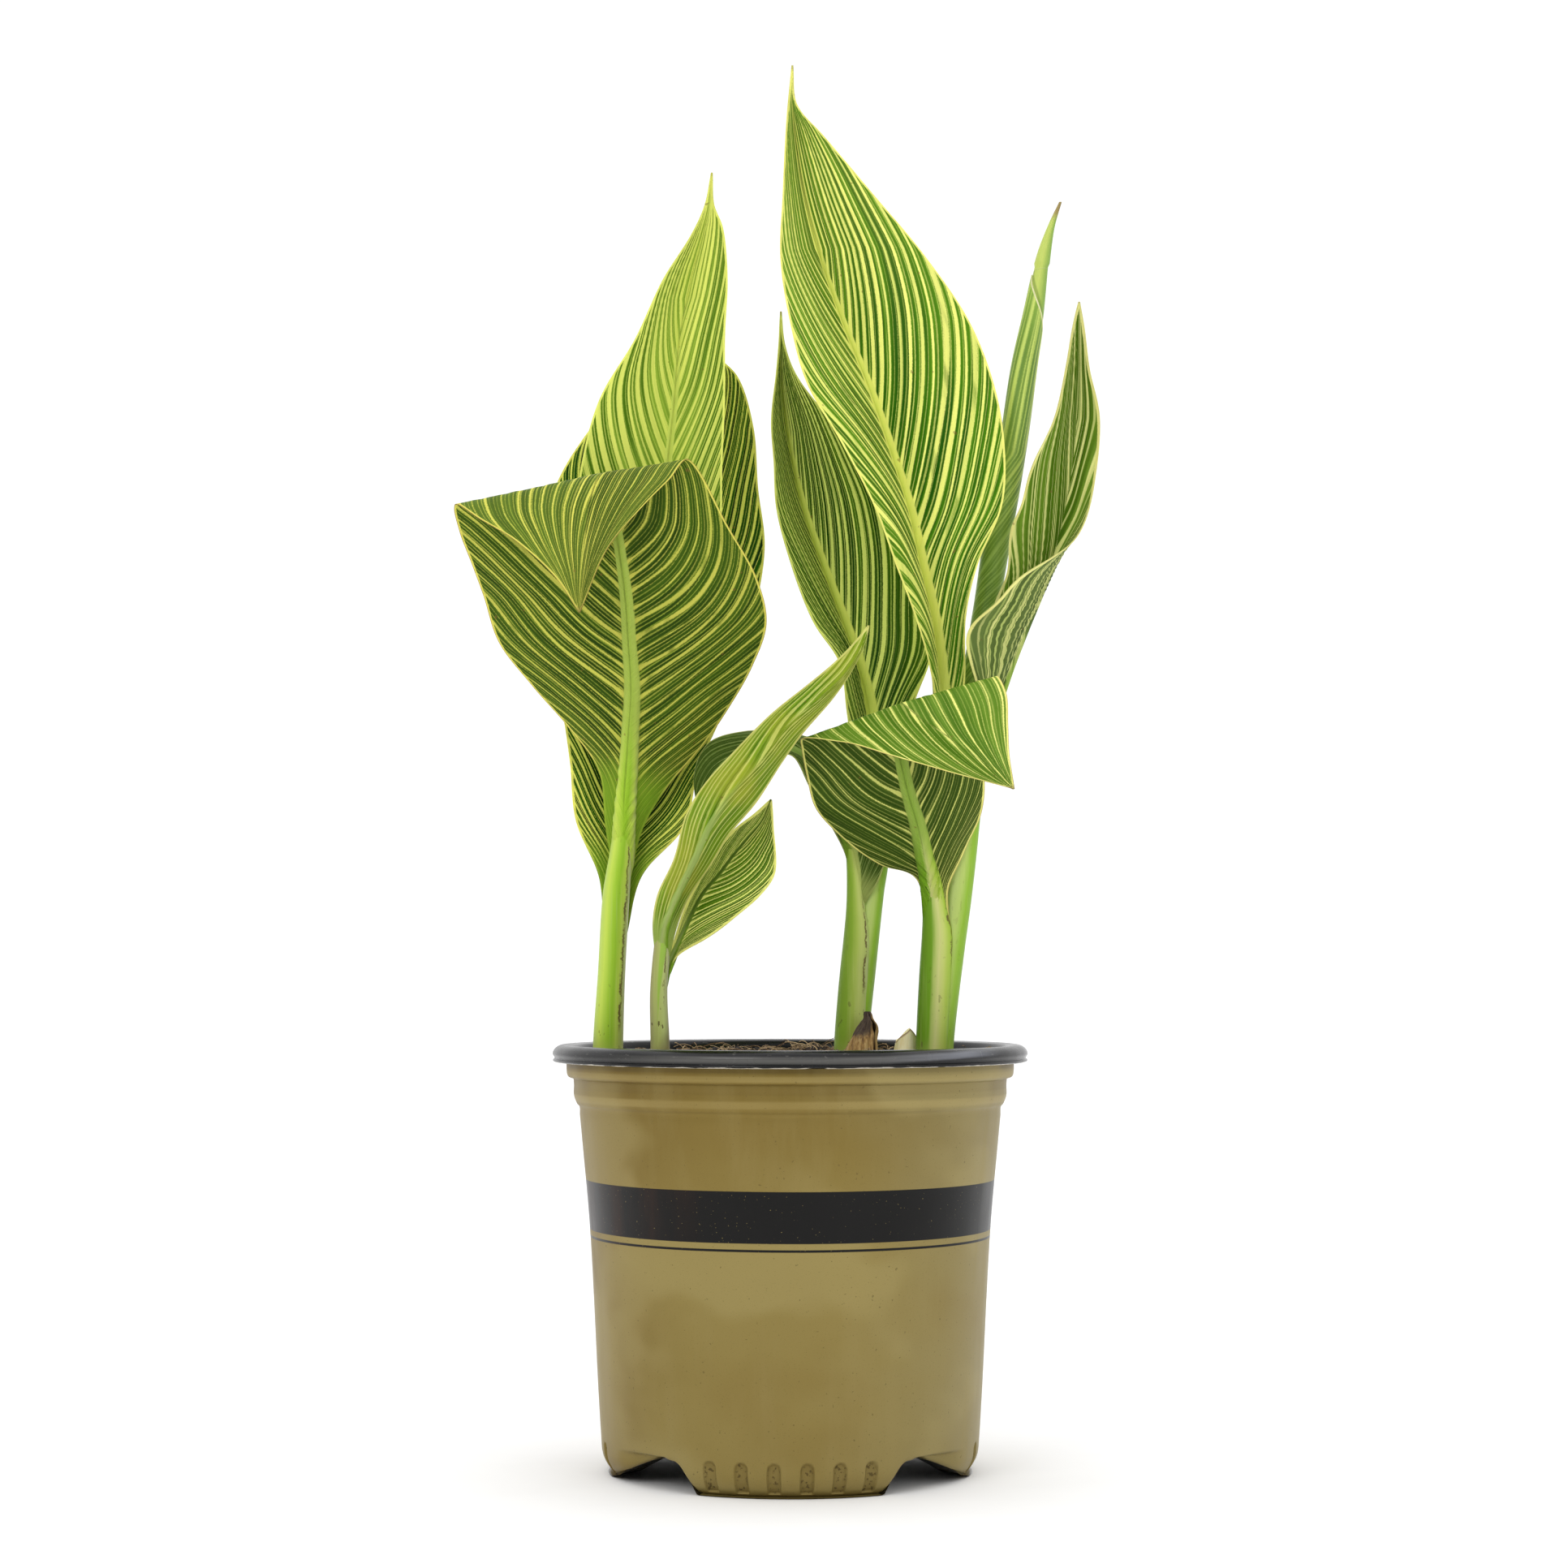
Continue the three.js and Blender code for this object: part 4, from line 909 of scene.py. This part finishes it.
# The big rear leaf of the left shoot stands behind both.
leaf("left_rear_leaf", "leaf_left_rear", "leaf_green", dict(
    rib=(4, 4), under=1, belly=(-0.06, -0.08), wave=(1.4, 3),
    sweep=(((0.2, 0.1, 0.23), (0.6, 0.4, 0.4), (0.8, 0.6, 0.6)),
           ((0.2, 0.08, 0.25), (0.6, 0.55, 0.7), (0.8, 0.65, 0.65))),
    tip=(-41, 56, 495), steps=200, columns=32,
    rows=[[(-79, 2, 224), (-74, 5, 224), (-69, 2, 224)],
          [(-81, 3, 248), (-72, 9, 249), (-63, 3, 248)],
          [(-91, 6, 272), (-71, 16, 273), (-45, 5, 269)],
          [(-94, 12, 297), (-69, 24, 298), (-39, 13, 295)],
          [(-99, 20, 325), (-66, 33, 327), (-27, 21, 324)],
          [(-109, 29, 358), (-64, 41, 359), (-17, 29, 356)],
          [(-109, 37, 392), (-61, 49, 392), (-11, 37, 392)],
          [(-102, 44, 422), (-57, 54, 421), (-14, 42, 420)],
          [(-90, 48, 444), (-52, 57, 447), (-16, 47, 447)],
          [(-73, 52, 465), (-47, 58, 469), (-23, 51, 470)],
          [(-53, 55, 483), (-43, 57, 484), (-35, 55, 483)]]),
     upper=((0, 42, 0), (36, 96, 0)), lower=((58, 84, 28), (90, 114, 48)),
     stripe=(255, 255, 118), midrib=((176, 196, 84), (150, 180, 60)), seed=15,
     main=(6.2, 2.4, 1), fine=(2.2, 0.8, 0.8), plain=0.14)

# The small shoot's first leaf is half unrolled, its pale ridge and rolled outside towards the front.
leaf("small_rolled_leaf", "leaf_small_rolled", "leaf_lime", dict(
    rib=(1.7, 1.2), under=-1, belly=(-0.16, -0.16), wave=(0.5, 3),
    sweep=(((0.2, 0.9, 0.9), (0.4, 0.5, 0.65), (0.6, 0.42, 0.9)),
           ((0.2, 0.9, 0.9), (0.6, 0.9, 0.9))),
    tip=(32, -47, 350), steps=150, columns=18, pleat=0.16,
    rows=[[(-56, -23, 215), (-53, -23.5, 214), (-50, -23, 215)],
          [(-57, -25, 228), (-52, -27, 226), (-47, -25, 227)],
          [(-55, -27, 240), (-47, -32, 239), (-42, -27, 239)],
          [(-48, -30, 255), (-40, -37, 253), (-33, -31, 252)],
          [(-43, -33, 273), (-33, -41, 268), (-25, -34, 265)],
          [(-35, -35, 286), (-25, -44, 280), (-14, -36, 278)],
          [(-23, -37, 299), (-13, -45, 293), (-3, -38, 295)],
          [(-8, -40, 314), (-1, -46, 309), (5, -41, 306)],
          [(7, -42, 326), (13, -47, 321), (18, -43, 321)],
          [(18, -44, 335), (23, -47, 331), (26, -44, 333)],
          [(26, -46, 343), (29, -47, 341), (31, -46, 344)]]),
     upper=((92, 130, 16), (126, 162, 40)), lower=((70, 116, 2), (138, 174, 36)),
     stripe=(230, 232, 132), midrib=((168, 192, 98), (176, 198, 110)), seed=21,
     main=(26, 11, 0.95), fine=(9, 3.2, 0.5), fade=0.4, dry_tip=0.2, foot=REAR_SKIN, sunny=0.35)

# Its second leaf is short and channelled.
leaf("small_channelled_leaf", "leaf_small_channelled", "leaf_green", dict(
    rib=(1.6, 1.4), under=1, belly=(0.05, 0.08), wave=(0.8, 3),
    sweep=(((0.2, 0.3, 0.4), (0.8, 0.5, 0.8)),
           ((0.2, 0.26, 0.7), (0.4, 0.32, 0.48), (0.6, 0.5, 1), (0.8, 1.2, 0.6))),
    tip=(-8, -18, 280), steps=130, columns=20, pleat=0.16,
    rows=[[(-54.8, -19.6, 202), (-53, -20.2, 202), (-51, -19.8, 202)],
          [(-50.9, -18.6, 213), (-49.8, -18, 212.5), (-48.4, -19.4, 213)],
          [(-45, -18, 232), (-42, -14, 231), (-35, -22, 222)],
          [(-40, -18, 243), (-37, -12, 241), (-24, -25, 230)],
          [(-35, -18, 252), (-30, -12, 249), (-13, -26, 239)],
          [(-30, -18, 260), (-24, -12, 257), (-7, -26, 248)],
          [(-23, -18, 268), (-18, -13, 264), (-6, -24, 258)],
          [(-15, -18, 274), (-12, -15, 271), (-7, -21, 269)]]),
     upper=((40, 88, 0), (90, 138, 0)), lower=((74, 98, 18), (108, 132, 44)),
     stripe=(252, 252, 140), midrib=((110, 140, 50), (70, 94, 24)), seed=27,
     main=(3.4, 1.5, 1), fine=(1.9, 0.8, 0.45), fade=1.2, dry_tip=0.2, foot=REAR_SKIN, outer=-0.1)

# The middle shoot carries a tall dark leaf, and a grey-green one that arches to the left.
leaf("middle_tall_leaf", "leaf_middle_tall", "leaf_green", dict(
    rib=(3.8, 4), under=1, belly=(-0.08, -0.08), wave=(0.8, 3),
    sweep=(((0.2, 0.3, 0.27), (0.4, 0.35, 0.4), (0.6, 0.32, 0.5), (0.8, 0.3, 0.6)),
           ((0.2, 0.17, 0.2), (0.4, 0.42, 0.7), (0.6, 0.68, 0.7), (0.8, 0.7, 0.45))),
    tip=(-4, 40, 497), steps=200, columns=30,
    rows=[[(36, 8, 250), (38, 8, 250), (41, 8, 250)],
          [(33, 9, 276), (37, 9, 276), (41, 9, 276)],
          [(27, 11, 299), (36, 15, 301), (45, 11, 300)],
          [(24, 10, 319), (34, 21, 322), (54, 18, 325)],
          [(21, 10, 340), (29, 25, 342), (61, 23, 345)],
          [(10, 11, 358), (23, 30, 360), (59, 27, 366)],
          [(0, 15, 384), (14, 34, 385), (54, 30, 390)],
          [(-6, 19, 407), (6, 37, 409), (44, 31, 412)],
          [(-7, 23, 428), (1, 39, 430), (29, 32, 433)],
          [(-8, 29, 448), (-2, 40, 450), (16, 34, 450)],
          [(-6, 34, 469), (-4, 39, 469), (3, 36, 468)],
          [(-5, 38, 482), (-4, 39, 482), (-2, 38, 482)]]),
     upper=((28, 66, 0), (70, 110, 12)), lower=((60, 86, 26), (90, 114, 46)),
     stripe=(232, 242, 124), midrib=((214, 224, 104), (186, 206, 78)), seed=33,
     main=(8.6, 3.7, 1), fine=(3.2, 1.25, 0.8), fade=0.75, plain=0.2, foot=PALE_SKIN)

leaf("middle_arching_leaf", "leaf_middle_arching", "leaf_olive", dict(
    rib=(3, 3), under=1, belly=(-0.05, -0.08), wave=(0.6, 2),
    sweep=(((0.3, 0.35, 0.4), (0.8, 0.4, 0.4)),
           ((0.3, 0.35, 0.4), (0.8, 0.5, 0.4))),
    tip=(-32, -11, 262), steps=140, columns=18, pleat=0.16,
    rows=[[(24, 5, 238), (27, 4, 237), (31.6, 3.6, 237)],
          [(24, 2, 255), (27, 2, 254), (38.4, 0.6, 249)],
          [(17, -2, 270), (22, 0, 271), (42, 1, 269)],
          [(8, -6, 286), (14, -1, 287), (30, 3, 292)],
          [(0, -9, 299), (6, -3, 298), (15, 4, 305)],
          [(-12, -11, 296), (-6, -4, 304), (-3, 4, 310)],
          [(-23, -12, 288), (-19, -5, 301), (-19, 4, 310)],
          [(-29, -13, 279), (-29, -6, 294), (-34, 3, 305)],
          [(-30, -13, 271), (-35, -7, 284), (-40, 1, 294)],
          [(-31, -13, 265), (-35, -8, 274), (-40, -2, 281)]]),
     upper=((58, 82, 18), (76, 98, 34)), lower=((70, 94, 30), (88, 112, 50)),
     stripe=(172, 186, 112), midrib=((146, 172, 84), (118, 150, 60)), seed=39,
     main=(9, 1.6, 0.7), fine=(3.6, 0.9, 0.5), plain=0.08, hem=0.6, foot=GREY_GREEN_SKIN)

# The right shoot's tallest leaf shows its upper face with a pale channelled midrib.
leaf("right_tall_leaf", "leaf_right_tall", "leaf_green", dict(
    rib=(4.3, 4.2), under=1, belly=(-0.06, -0.08), wave=(1, 3),
    sweep=(((0.2, 0.16, 0.06), (0.4, 0.19, 0.08), (0.6, 0.25, 0.36), (0.8, 0.2, 0.3)),
           ((0.2, 0.14, 0.14), (0.4, 0.2, 0.5), (0.6, 0.46, 0.48), (0.8, 0.62, 0.33))),
    tip=(1, 13, 599), steps=250, columns=34,
    rows=[[(68, -3, 258), (71, -3, 258), (74, -3, 258)],
          [(65, -6, 282), (68, -7, 282), (72, -6, 282)],
          [(63, -4, 306), (66, -4, 306), (71, -4, 306)],
          [(60, -7, 330), (64, 2, 330), (74, -2, 331)],
          [(53, -13, 355), (61, 6, 357), (75, -1, 358)],
          [(45, -16, 378), (56, 9, 381), (80, -1, 381)],
          [(36, -17, 403), (51, 13, 406), (90, 0, 406)],
          [(22, -15, 430), (43, 16, 433), (91, 0, 432)],
          [(7, -12, 456), (34, 18, 460), (87, 1, 458)],
          [(0, -8, 483), (23, 20, 488), (77, 2, 485)],
          [(-4, -3, 512), (13, 20, 517), (58, 5, 514)],
          [(-3, 2, 540), (6, 18, 543), (35, 7, 542)],
          [(-2, 8, 566), (2, 16, 569), (14, 10, 568)],
          [(-1, 12, 582), (1, 13, 583), (3, 12, 582)]]),
     upper=((28, 84, 2), (78, 136, 12)), lower=((78, 104, 32), (106, 132, 56)),
     stripe=(255, 255, 136), midrib=((236, 240, 124), (216, 230, 102)), seed=45,
     main=(9, 4.3, 1), fine=(3.6, 1.1, 0.7), fade=0.74, plain=0.14, dry_tip=0.4, foot=PALE_SKIN,
     fresh=0.55, pale_left=0.12)

# Its oldest leaf folds over to the right in front, like the left shoot's.
leaf("right_folded_leaf", "leaf_right_folded", "leaf_olive", dict(
    rib=(4.3, 4.6), under=-1, belly=(-0.08, -0.08), wave=(1.2, 4),
    sweep=(((0.2, 0.21, 0.26), (0.4, 0.23, 0.4), (0.6, 0.44, 0.36), (0.8, 0.66, 0.47)),
           ((0.2, 0.26, 0.6), (0.4, 0.31, 0.6), (0.6, 1.2, 1.2), (0.8, 1.6, 0.8))),
    tip=(90, -67, 282), steps=190, columns=34, pleat=0.08, fan=(0.62, 1.0, 1.0),
    rows=[[(56.5, -6, 222), (60.6, -6, 222), (67.4, -7.8, 226)],
          [(53, -8, 247), (59, -9, 246), (66.6, -8.4, 243)],
          [(37, -9, 254), (56, -15, 257), (73.4, -10, 259)],
          [(22, -11, 264), (53, -22, 270), (79, -13, 271)],
          [(11, -14, 276), (49, -28, 283), (81, -17, 282)],
          [(7, -18, 290), (46, -34, 295), (81, -21, 298)],
          [(5, -23, 300), (43, -39, 308), (83, -26, 315)],
          [(5, -30, 305), (45, -45, 318), (85, -33, 331)],
          [(21, -40, 303), (54, -54, 311), (89, -41, 322)],
          [(41, -50, 296), (65, -59, 303), (89, -49, 309)],
          [(63, -58, 290), (78, -63, 293), (89, -57, 296)]]),
     upper=((74, 112, 18), (104, 140, 40)), lower=((48, 72, 12), (66, 90, 26)),
     stripe=(248, 246, 138), midrib=((152, 178, 78), (124, 160, 48)), seed=51,
     main=(8.4, 1.5, 1), fine=(2.8, 0.85, 0.4), fade=0.55, plain=0.04, outline=(170, 140, 90),
     foot=TWO_TONE_SKIN, upper_scale=0.76)

# A younger one twists, and its outer lobe hangs grey-green in front.
leaf("right_twisted_leaf", "leaf_right_twisted", "leaf_olive", dict(
    rib=(2.8, 2.6), under=1, belly=(0.03, 0.2), wave=(1.3, 6),
    sweep=(((0.4, 0.54, 0.3), (0.6, 0.7, 0.7), (0.8, 0.2, 0.2)),
           ((0.2, 0.8, 1.3), (0.4, 0.1, 0.55), (0.6, 0.4, 0.15), (0.8, 0.3, 0.3))),
    tip=(124, 8, 495), steps=200, columns=26,
    rows=[[(78, -2, 291), (80.5, -1, 291), (83, -2, 291)],
          [(81, -1, 314), (85, 1, 313), (81, -6, 318)],
          [(84, 3, 337), (92, 6, 334), (75, -12, 338)],
          [(87, 5, 358), (100, 10, 354), (77, -16, 354)],
          [(91, 6, 377), (108, 10, 373), (91, -17, 368)],
          [(95, 6, 396), (114, 10, 390), (111, -13, 383)],
          [(99, 5, 410), (118, 10, 407), (124, -6, 396)],
          [(104, 4, 425), (121, 10, 425), (130, 0, 420)],
          [(113, 4, 445), (123, 9, 446), (132, 3, 444)],
          [(118, 5, 467), (124, 9, 468), (128, 5, 466)],
          [(121, 7, 484), (124, 8, 484), (126, 7, 484)]]),
     upper=((70, 106, 10), (106, 142, 38)), lower=((80, 100, 44), (104, 124, 62)),
     stripe=(250, 248, 158), midrib=((124, 156, 66), (116, 150, 56)), seed=57,
     main=(70, 14, 0.9), fine=(21, 7.5, 1), fade=0.2, dry_tip=0.3, foot=REAR_SKIN, upper_scale=0.4)

# The newest leaf is still rolled into a spear: a tight inner roll, and round it an outer turn whose pointed
# top ends lower down and whose free edge runs to the right.
SPEAR = [(76.5, 3, 299.3, 2.8), (77, 9.5, 325, 4.4), (81.4, 15, 350, 5.2), (84.6, 18, 366, 5.6),
         (88.9, 19, 392, 6), (93.2, 19, 416, 6.1), (97.1, 18, 441, 6.1), (101.1, 18, 469, 5.8),
         (105.2, 18, 491, 4.9), (109.6, 18, 517, 3.1), (113, 18, 530, 1.6), (117, 18, 540.5, 0.6)]
SPEAR_RINGS = 170
SPEAR_SIDES = 44
SPEAR_WALL = 0.45
OUTER_TOP = 509
FREE_EDGE = [(299, 112), (474, 104), (483, 84), (491, 43), (501, -22), (OUTER_TOP, -84)]  # height, degrees
SPIRAL = [(299, 0), (380, 70), (430, 96), (541, 102)]  # height, how far the veins have wound round


def lay(line, angle, skin):
    """The spear's surface, `skin` mm in from its outside: points, how far wound round, how far right."""
    x, y, z, radius = (line[:, k, None] for k in range(4))
    reach = np.maximum(radius - skin, 0.3)
    points = np.stack([x + reach * np.sin(angle), y - reach * np.cos(angle), z + 0 * angle], axis=-1)
    wound = 5.5 * angle - np.interp(points[..., 2], *np.transpose(SPIRAL))
    return points, wound, np.sin(angle) + 0 * reach


def free_edge(line):
    return np.radians(np.interp(line[:, 2], *np.transpose(FREE_EDGE)))[:, None]


def spear_mesh():
    line = rail(SPEAR, np.linspace(0, 1, SPEAR_RINGS))
    height, radius = line[:, 2, None], line[:, 3, None]
    turn = np.linspace(-math.pi, math.pi, SPEAR_SIDES, endpoint=False)[None]
    skin = np.where(height < OUTER_TOP + 4, SPEAR_WALL + 0.15, 0)
    roll, wound, side = lay(line, turn + 0.6, skin)
    # `rim` is how many mm a point lies round from the outer turn's free edge; on the inner roll it is below
    # zero just past that edge, where the finish paints the edge's shadow.
    rim = np.where(height < OUTER_TOP + 2, (free_edge(line) - turn - 0.6) * radius, 9)
    faces = strips(SPEAR_RINGS, SPEAR_SIDES) + lids(SPEAR_RINGS, SPEAR_SIDES)
    inner = (roll.reshape(-1, 3), faces, {"wound": wound.ravel(), "side": side.ravel(), "rim": rim.ravel()})

    line = line[line[:, 2] < OUTER_TOP]
    height, radius = line[:, 2, None], line[:, 3, None]
    free = free_edge(line)
    start = free - np.minimum(np.radians(330), np.maximum(0.05, (OUTER_TOP - height) * 0.16 + 0.05))
    angle = start + (free - start) * np.linspace(0, 1, SPEAR_SIDES)
    over, under = lay(line, angle, 0), lay(line, angle, SPEAR_WALL)
    points, faces = thin_shell(over[0], under[0])
    rim = (free - angle) * radius
    marks = {"wound": both_faces(over[1], under[1]), "side": both_faces(over[2], under[2]),
             "rim": both_faces(rim, rim)}
    return join([inner, (points, faces, marks)])


def spear_finish():
    finish = Finish("rolled leaf skin", IOR=1.42, Specular_IOR_Level=0.35)
    place, wound, side = finish.place(), finish.mark("wound"), finish.mark("side")
    height, rim = finish.part(place, "Z") / MM, finish.mark("rim")
    ragged = (finish.noise(place, 1500, detail=2) - 0.5) * 0.5
    bold, bold_border, _ = stripes(finish, wound, height * 0.3, 0, 5.2, 1.7, 5, ragged, 0)
    thin, thin_border, _ = stripes(finish, wound, height * 0.3, 0, 1.9, 0.7, 8, ragged, 0)
    soft = finish.noise(finish.stretch(place, (60, 60, 12)), detail=2)
    upward = finish.ease(height, 380, 440)
    stripe = finish.mix(upward, (158, 188, 92), (194, 212, 104))
    inner = finish.ease(finish.mark("rod"), 0.6, 0.4) * finish.ease(height, 478, 490)
    lit = finish.mix(finish.ease(side, -0.2, 0.9), (196, 210, 104), (132, 168, 70))
    colour = finish.coats(
        finish.mix(finish.ease(soft, 0.35, 0.62), (104, 138, 50), (126, 158, 66)),
        (finish.ease(side, 0.1, 1) * upward * 0.6, (92, 126, 72)),
        (finish.ease(height, 470, 515) * 0.55, (150, 186, 66)),
        (thin_border * 0.2 + thin * 0.45, stripe),
        (bold_border * 0.25 + bold * 0.75, stripe),
        (inner * 0.85, lit),
        # A painted shadow of the outer turn's free edge on the inner roll just past it.
        (finish.between(rim, -1.6, -0.2, 0.5) * 0.5, (84, 116, 40)),
        (finish.between(rim, 0, 0.7, 0.12), (222, 220, 168)),
        (finish.ease(height + ragged * 6, 531, 537) * 0.8, (150, 116, 80)))
    finish.shade(Base_Color=colour, Roughness=0.44)
    finish.bump(bold * 0.6 + soft, 0.25, 0.7)
    return finish.made


piece("right_spear_leaf", "leaf_right_spear", "leaf_spear", spear_finish(), *spear_mesh(), crease=45)

# ---- Remains of old shoots ---------------------------------------------------------------------
# At soil level a dry brown sheath still stands with its split side open, and beside it is the pale stub
# of a shoot that was cut off at a slant.

HUSK = [(29.6, -4.5, 162, 6.2), (29.6, -4.5, 173, 7), (30.9, -4.5, 179.5, 5.7), (32, -4.5, 183, 4.6),
        (32.8, -4.5, 186.6, 3.4), (32.9, -4.5, 189, 1.9), (32.3, -4.5, 191, 0.8)]
HUSK_RINGS = 60
HUSK_SIDES = 64
HUSK_WALL = 0.7


def husk_mesh():
    up = np.linspace(0, 1, HUSK_RINGS)[:, None]
    gape = 0.35 + 0.9 * smooth(up, 0.35, 0.8) * smooth(up, 1.02, 0.9)
    angle = -0.6 + gape / 2 + np.linspace(0, 1, HUSK_SIDES) * (2 * math.pi - gape)
    crinkle = 0.25 * np.sin(angle * 9 + up * 5) + 0.2 * np.sin(angle * 15 - up * 9)
    crinkle = crinkle + 0.3 * np.sin(up * 14 + angle * 2)
    x, y, z, radius = rail(HUSK, up.ravel()).T[..., None]
    z = z + 0 * angle + 0.5 * np.sin(angle * 7) * smooth(up, 0.8, 1)
    skins = []
    for skin in (0, HUSK_WALL):
        reach = np.maximum(radius + crinkle * smooth(up, 0, 0.3) - skin, 0.15)
        skins.append(np.stack([x + reach * np.cos(angle), y + reach * np.sin(angle), z], axis=-1))
    inner = both_faces(np.zeros_like(angle), np.ones_like(angle))
    return *thin_shell(*skins), {"inner": inner, "up": np.repeat(up, 2 * HUSK_SIDES)}


def husk_finish():
    finish = Finish("dry sheath", Roughness=0.8)
    place, up = finish.place(), finish.mark("up")
    x = finish.part(place, "X") / MM
    fibres = finish.noise(finish.stretch(place, (900, 900, 70)), detail=4, roughness=0.65)
    patches = finish.noise(place, 130, detail=3)
    charred = finish.ease(up + (patches - 0.5) * 0.5, 0.36, 0.52)
    charred = charred * finish.ease(x + (patches - 0.5) * 5, 38.4, 36.6)
    colour = finish.coats(
        finish.ramp(fibres, [(0.3, (104, 74, 40)), (0.5, (168, 132, 76)), (0.7, (212, 182, 120))]),
        (charred * 0.9, (52, 42, 40)),
        # Painted shade: the sheath's inside face is painted dark for the shade in its hollow.
        (finish.mark("inner") * 0.7, (38, 28, 20)))
    finish.shade(Base_Color=colour)
    finish.bump(fibres, 0.5)
    return finish.made


piece("dry_sheath", "dried_husk", "dry_sheath", husk_finish(), *husk_mesh())

STUB = [(47.4, 3, 162, 5.6), (47.6, 3, 172, 6), (48.6, 3, 180, 5.5), (49.4, 3, 188, 4.8)]
STUB_CUT = {"at": 182.5, "slope": 0.9, "peak": 50.6}
STUB_PITH = ((0.86, 0.1), (0.6, 0.5), (0.3, 0.3))  # rings on the cut: share of its width, mm sunk
STUB_RINGS = 40
STUB_SIDES = 48


def stub_mesh():
    up = np.linspace(0, 1, STUB_RINGS)[:, None]
    turn = np.linspace(0, 2 * math.pi, STUB_SIDES, endpoint=False)
    x, y, _, radius = rail(STUB, up.ravel()).T[..., None]
    x, y = x + radius * np.cos(turn), y + radius * np.sin(turn)
    cut = STUB_CUT["at"] + STUB_CUT["slope"] * (np.minimum(x, STUB_CUT["peak"]) - STUB[2][0])
    cut = cut + 0.25 * np.sin(turn * 5) - 1.3 * np.maximum(0, x - STUB_CUT["peak"])
    foot = STUB[0][2]
    points = np.stack([x, y, foot + (cut - foot) * up], axis=-1).reshape(-1, 3)
    rim = points[-STUB_SIDES:]
    middle = rim.mean(0)
    pith = [middle + (rim - middle) * share - [0, 0, sunk] for share, sunk in STUB_PITH]
    rings = STUB_RINGS + len(pith)
    up = np.append(np.repeat(up, STUB_SIDES), np.full(len(pith) * STUB_SIDES, 1.2))
    return np.vstack([points, *pith]), strips(rings, STUB_SIDES) + lids(rings, STUB_SIDES), {"up": up}


def stub_finish():
    finish = Finish("cut shoot", Roughness=0.6)
    fibres = finish.noise(finish.stretch(finish.place(), (600, 600, 60)), detail=3)
    pale = finish.mix(finish.ease(fibres, 0.35, 0.65), (246, 232, 172), (255, 246, 200))
    browned = finish.between(finish.mark("up"), 0.96, 1.03, 0.02)
    finish.shade(Base_Color=finish.mix(browned * 0.75, pale, (140, 96, 52)))
    finish.bump(fibres, 0.3)
    return finish.made


piece("shoot_stub", "cut_stub", "cut_shoot", stub_finish(), *stub_mesh())

# ---- Studio ------------------------------------------------------------------------------------
# A pale floor that runs out of sight, soft light from two large panels and the sky, and a camera a little
# above the pot's lip that looks slightly up.

LAMPS = (("key", "AREA", (-1.0, -1.7, 1.2), 0.9, 9), ("fill", "AREA", (1.2, -1.6, 0.7), 0.9, 5.5),
         ("sky", "SUN", (0, -0.5, 2.0), math.radians(100), 1.7))  # name, kind, place, width or angle, power
LAMPS_AIM = Vector((0, 0, 0.3))
SENSOR = 36
FOCAL = 4081 / 1932  # focal length as a share of the sensor's width
CAMERA_FROM_POT = Vector((-2.6, -1400, 214))
LOOK_UP = 0.0524  # radians

bpy.ops.mesh.primitive_circle_add(vertices=96, radius=8, fill_type="NGON", location=(0, 0, -0.0002))
floor = bpy.context.object
floor.name = "floor"
matt = Finish("pale floor", Roughness=0.9)
grain = matt.noise(matt.place(), 30, detail=2)
matt.shade(Base_Color=matt.mix(grain, (243.4, 243.4, 243.4), (247, 247, 247)))
floor.data.materials.append(matt.made)

# The room's light is dim in front, behind the camera, and bright at the back.
sky = Finish("studio", bpy.data.worlds, "Background", Color=(255, 255, 255))
backward = sky.part(sky.place("Generated"), "Y")
span = {"Value": backward, "From Min": -0.75, "From Max": 0.35, "To Min": 0.12, "To Max": 1.08}
sky.shade(Strength=sky.node("ShaderNodeMapRange", {}, span))
bpy.context.scene.world = sky.made

for name, kind, at, size, power in LAMPS:
    lamp = bpy.data.lights.new(name, kind)
    lamp.energy = power
    setattr(lamp, "size" if kind == "AREA" else "angle", size)
    stand = bpy.data.objects.new(name, lamp)
    bpy.context.scene.collection.objects.link(stand)
    stand.location = at
    stand.rotation_euler = (LAMPS_AIM - Vector(at)).to_track_quat("-Z", "Y").to_euler()

lens = bpy.data.cameras.new("camera")
lens.sensor_width, lens.lens = SENSOR, FOCAL * SENSOR
camera = bpy.data.objects.new("camera", lens)
bpy.context.scene.collection.objects.link(camera)
camera.location = (Vector(POT_AXIS.tolist()) + CAMERA_FROM_POT) * MM
camera.rotation_euler = (math.pi / 2 + LOOK_UP, 0, 0)
bpy.context.scene.camera = camera
bpy.context.scene.view_settings.view_transform = "Standard"
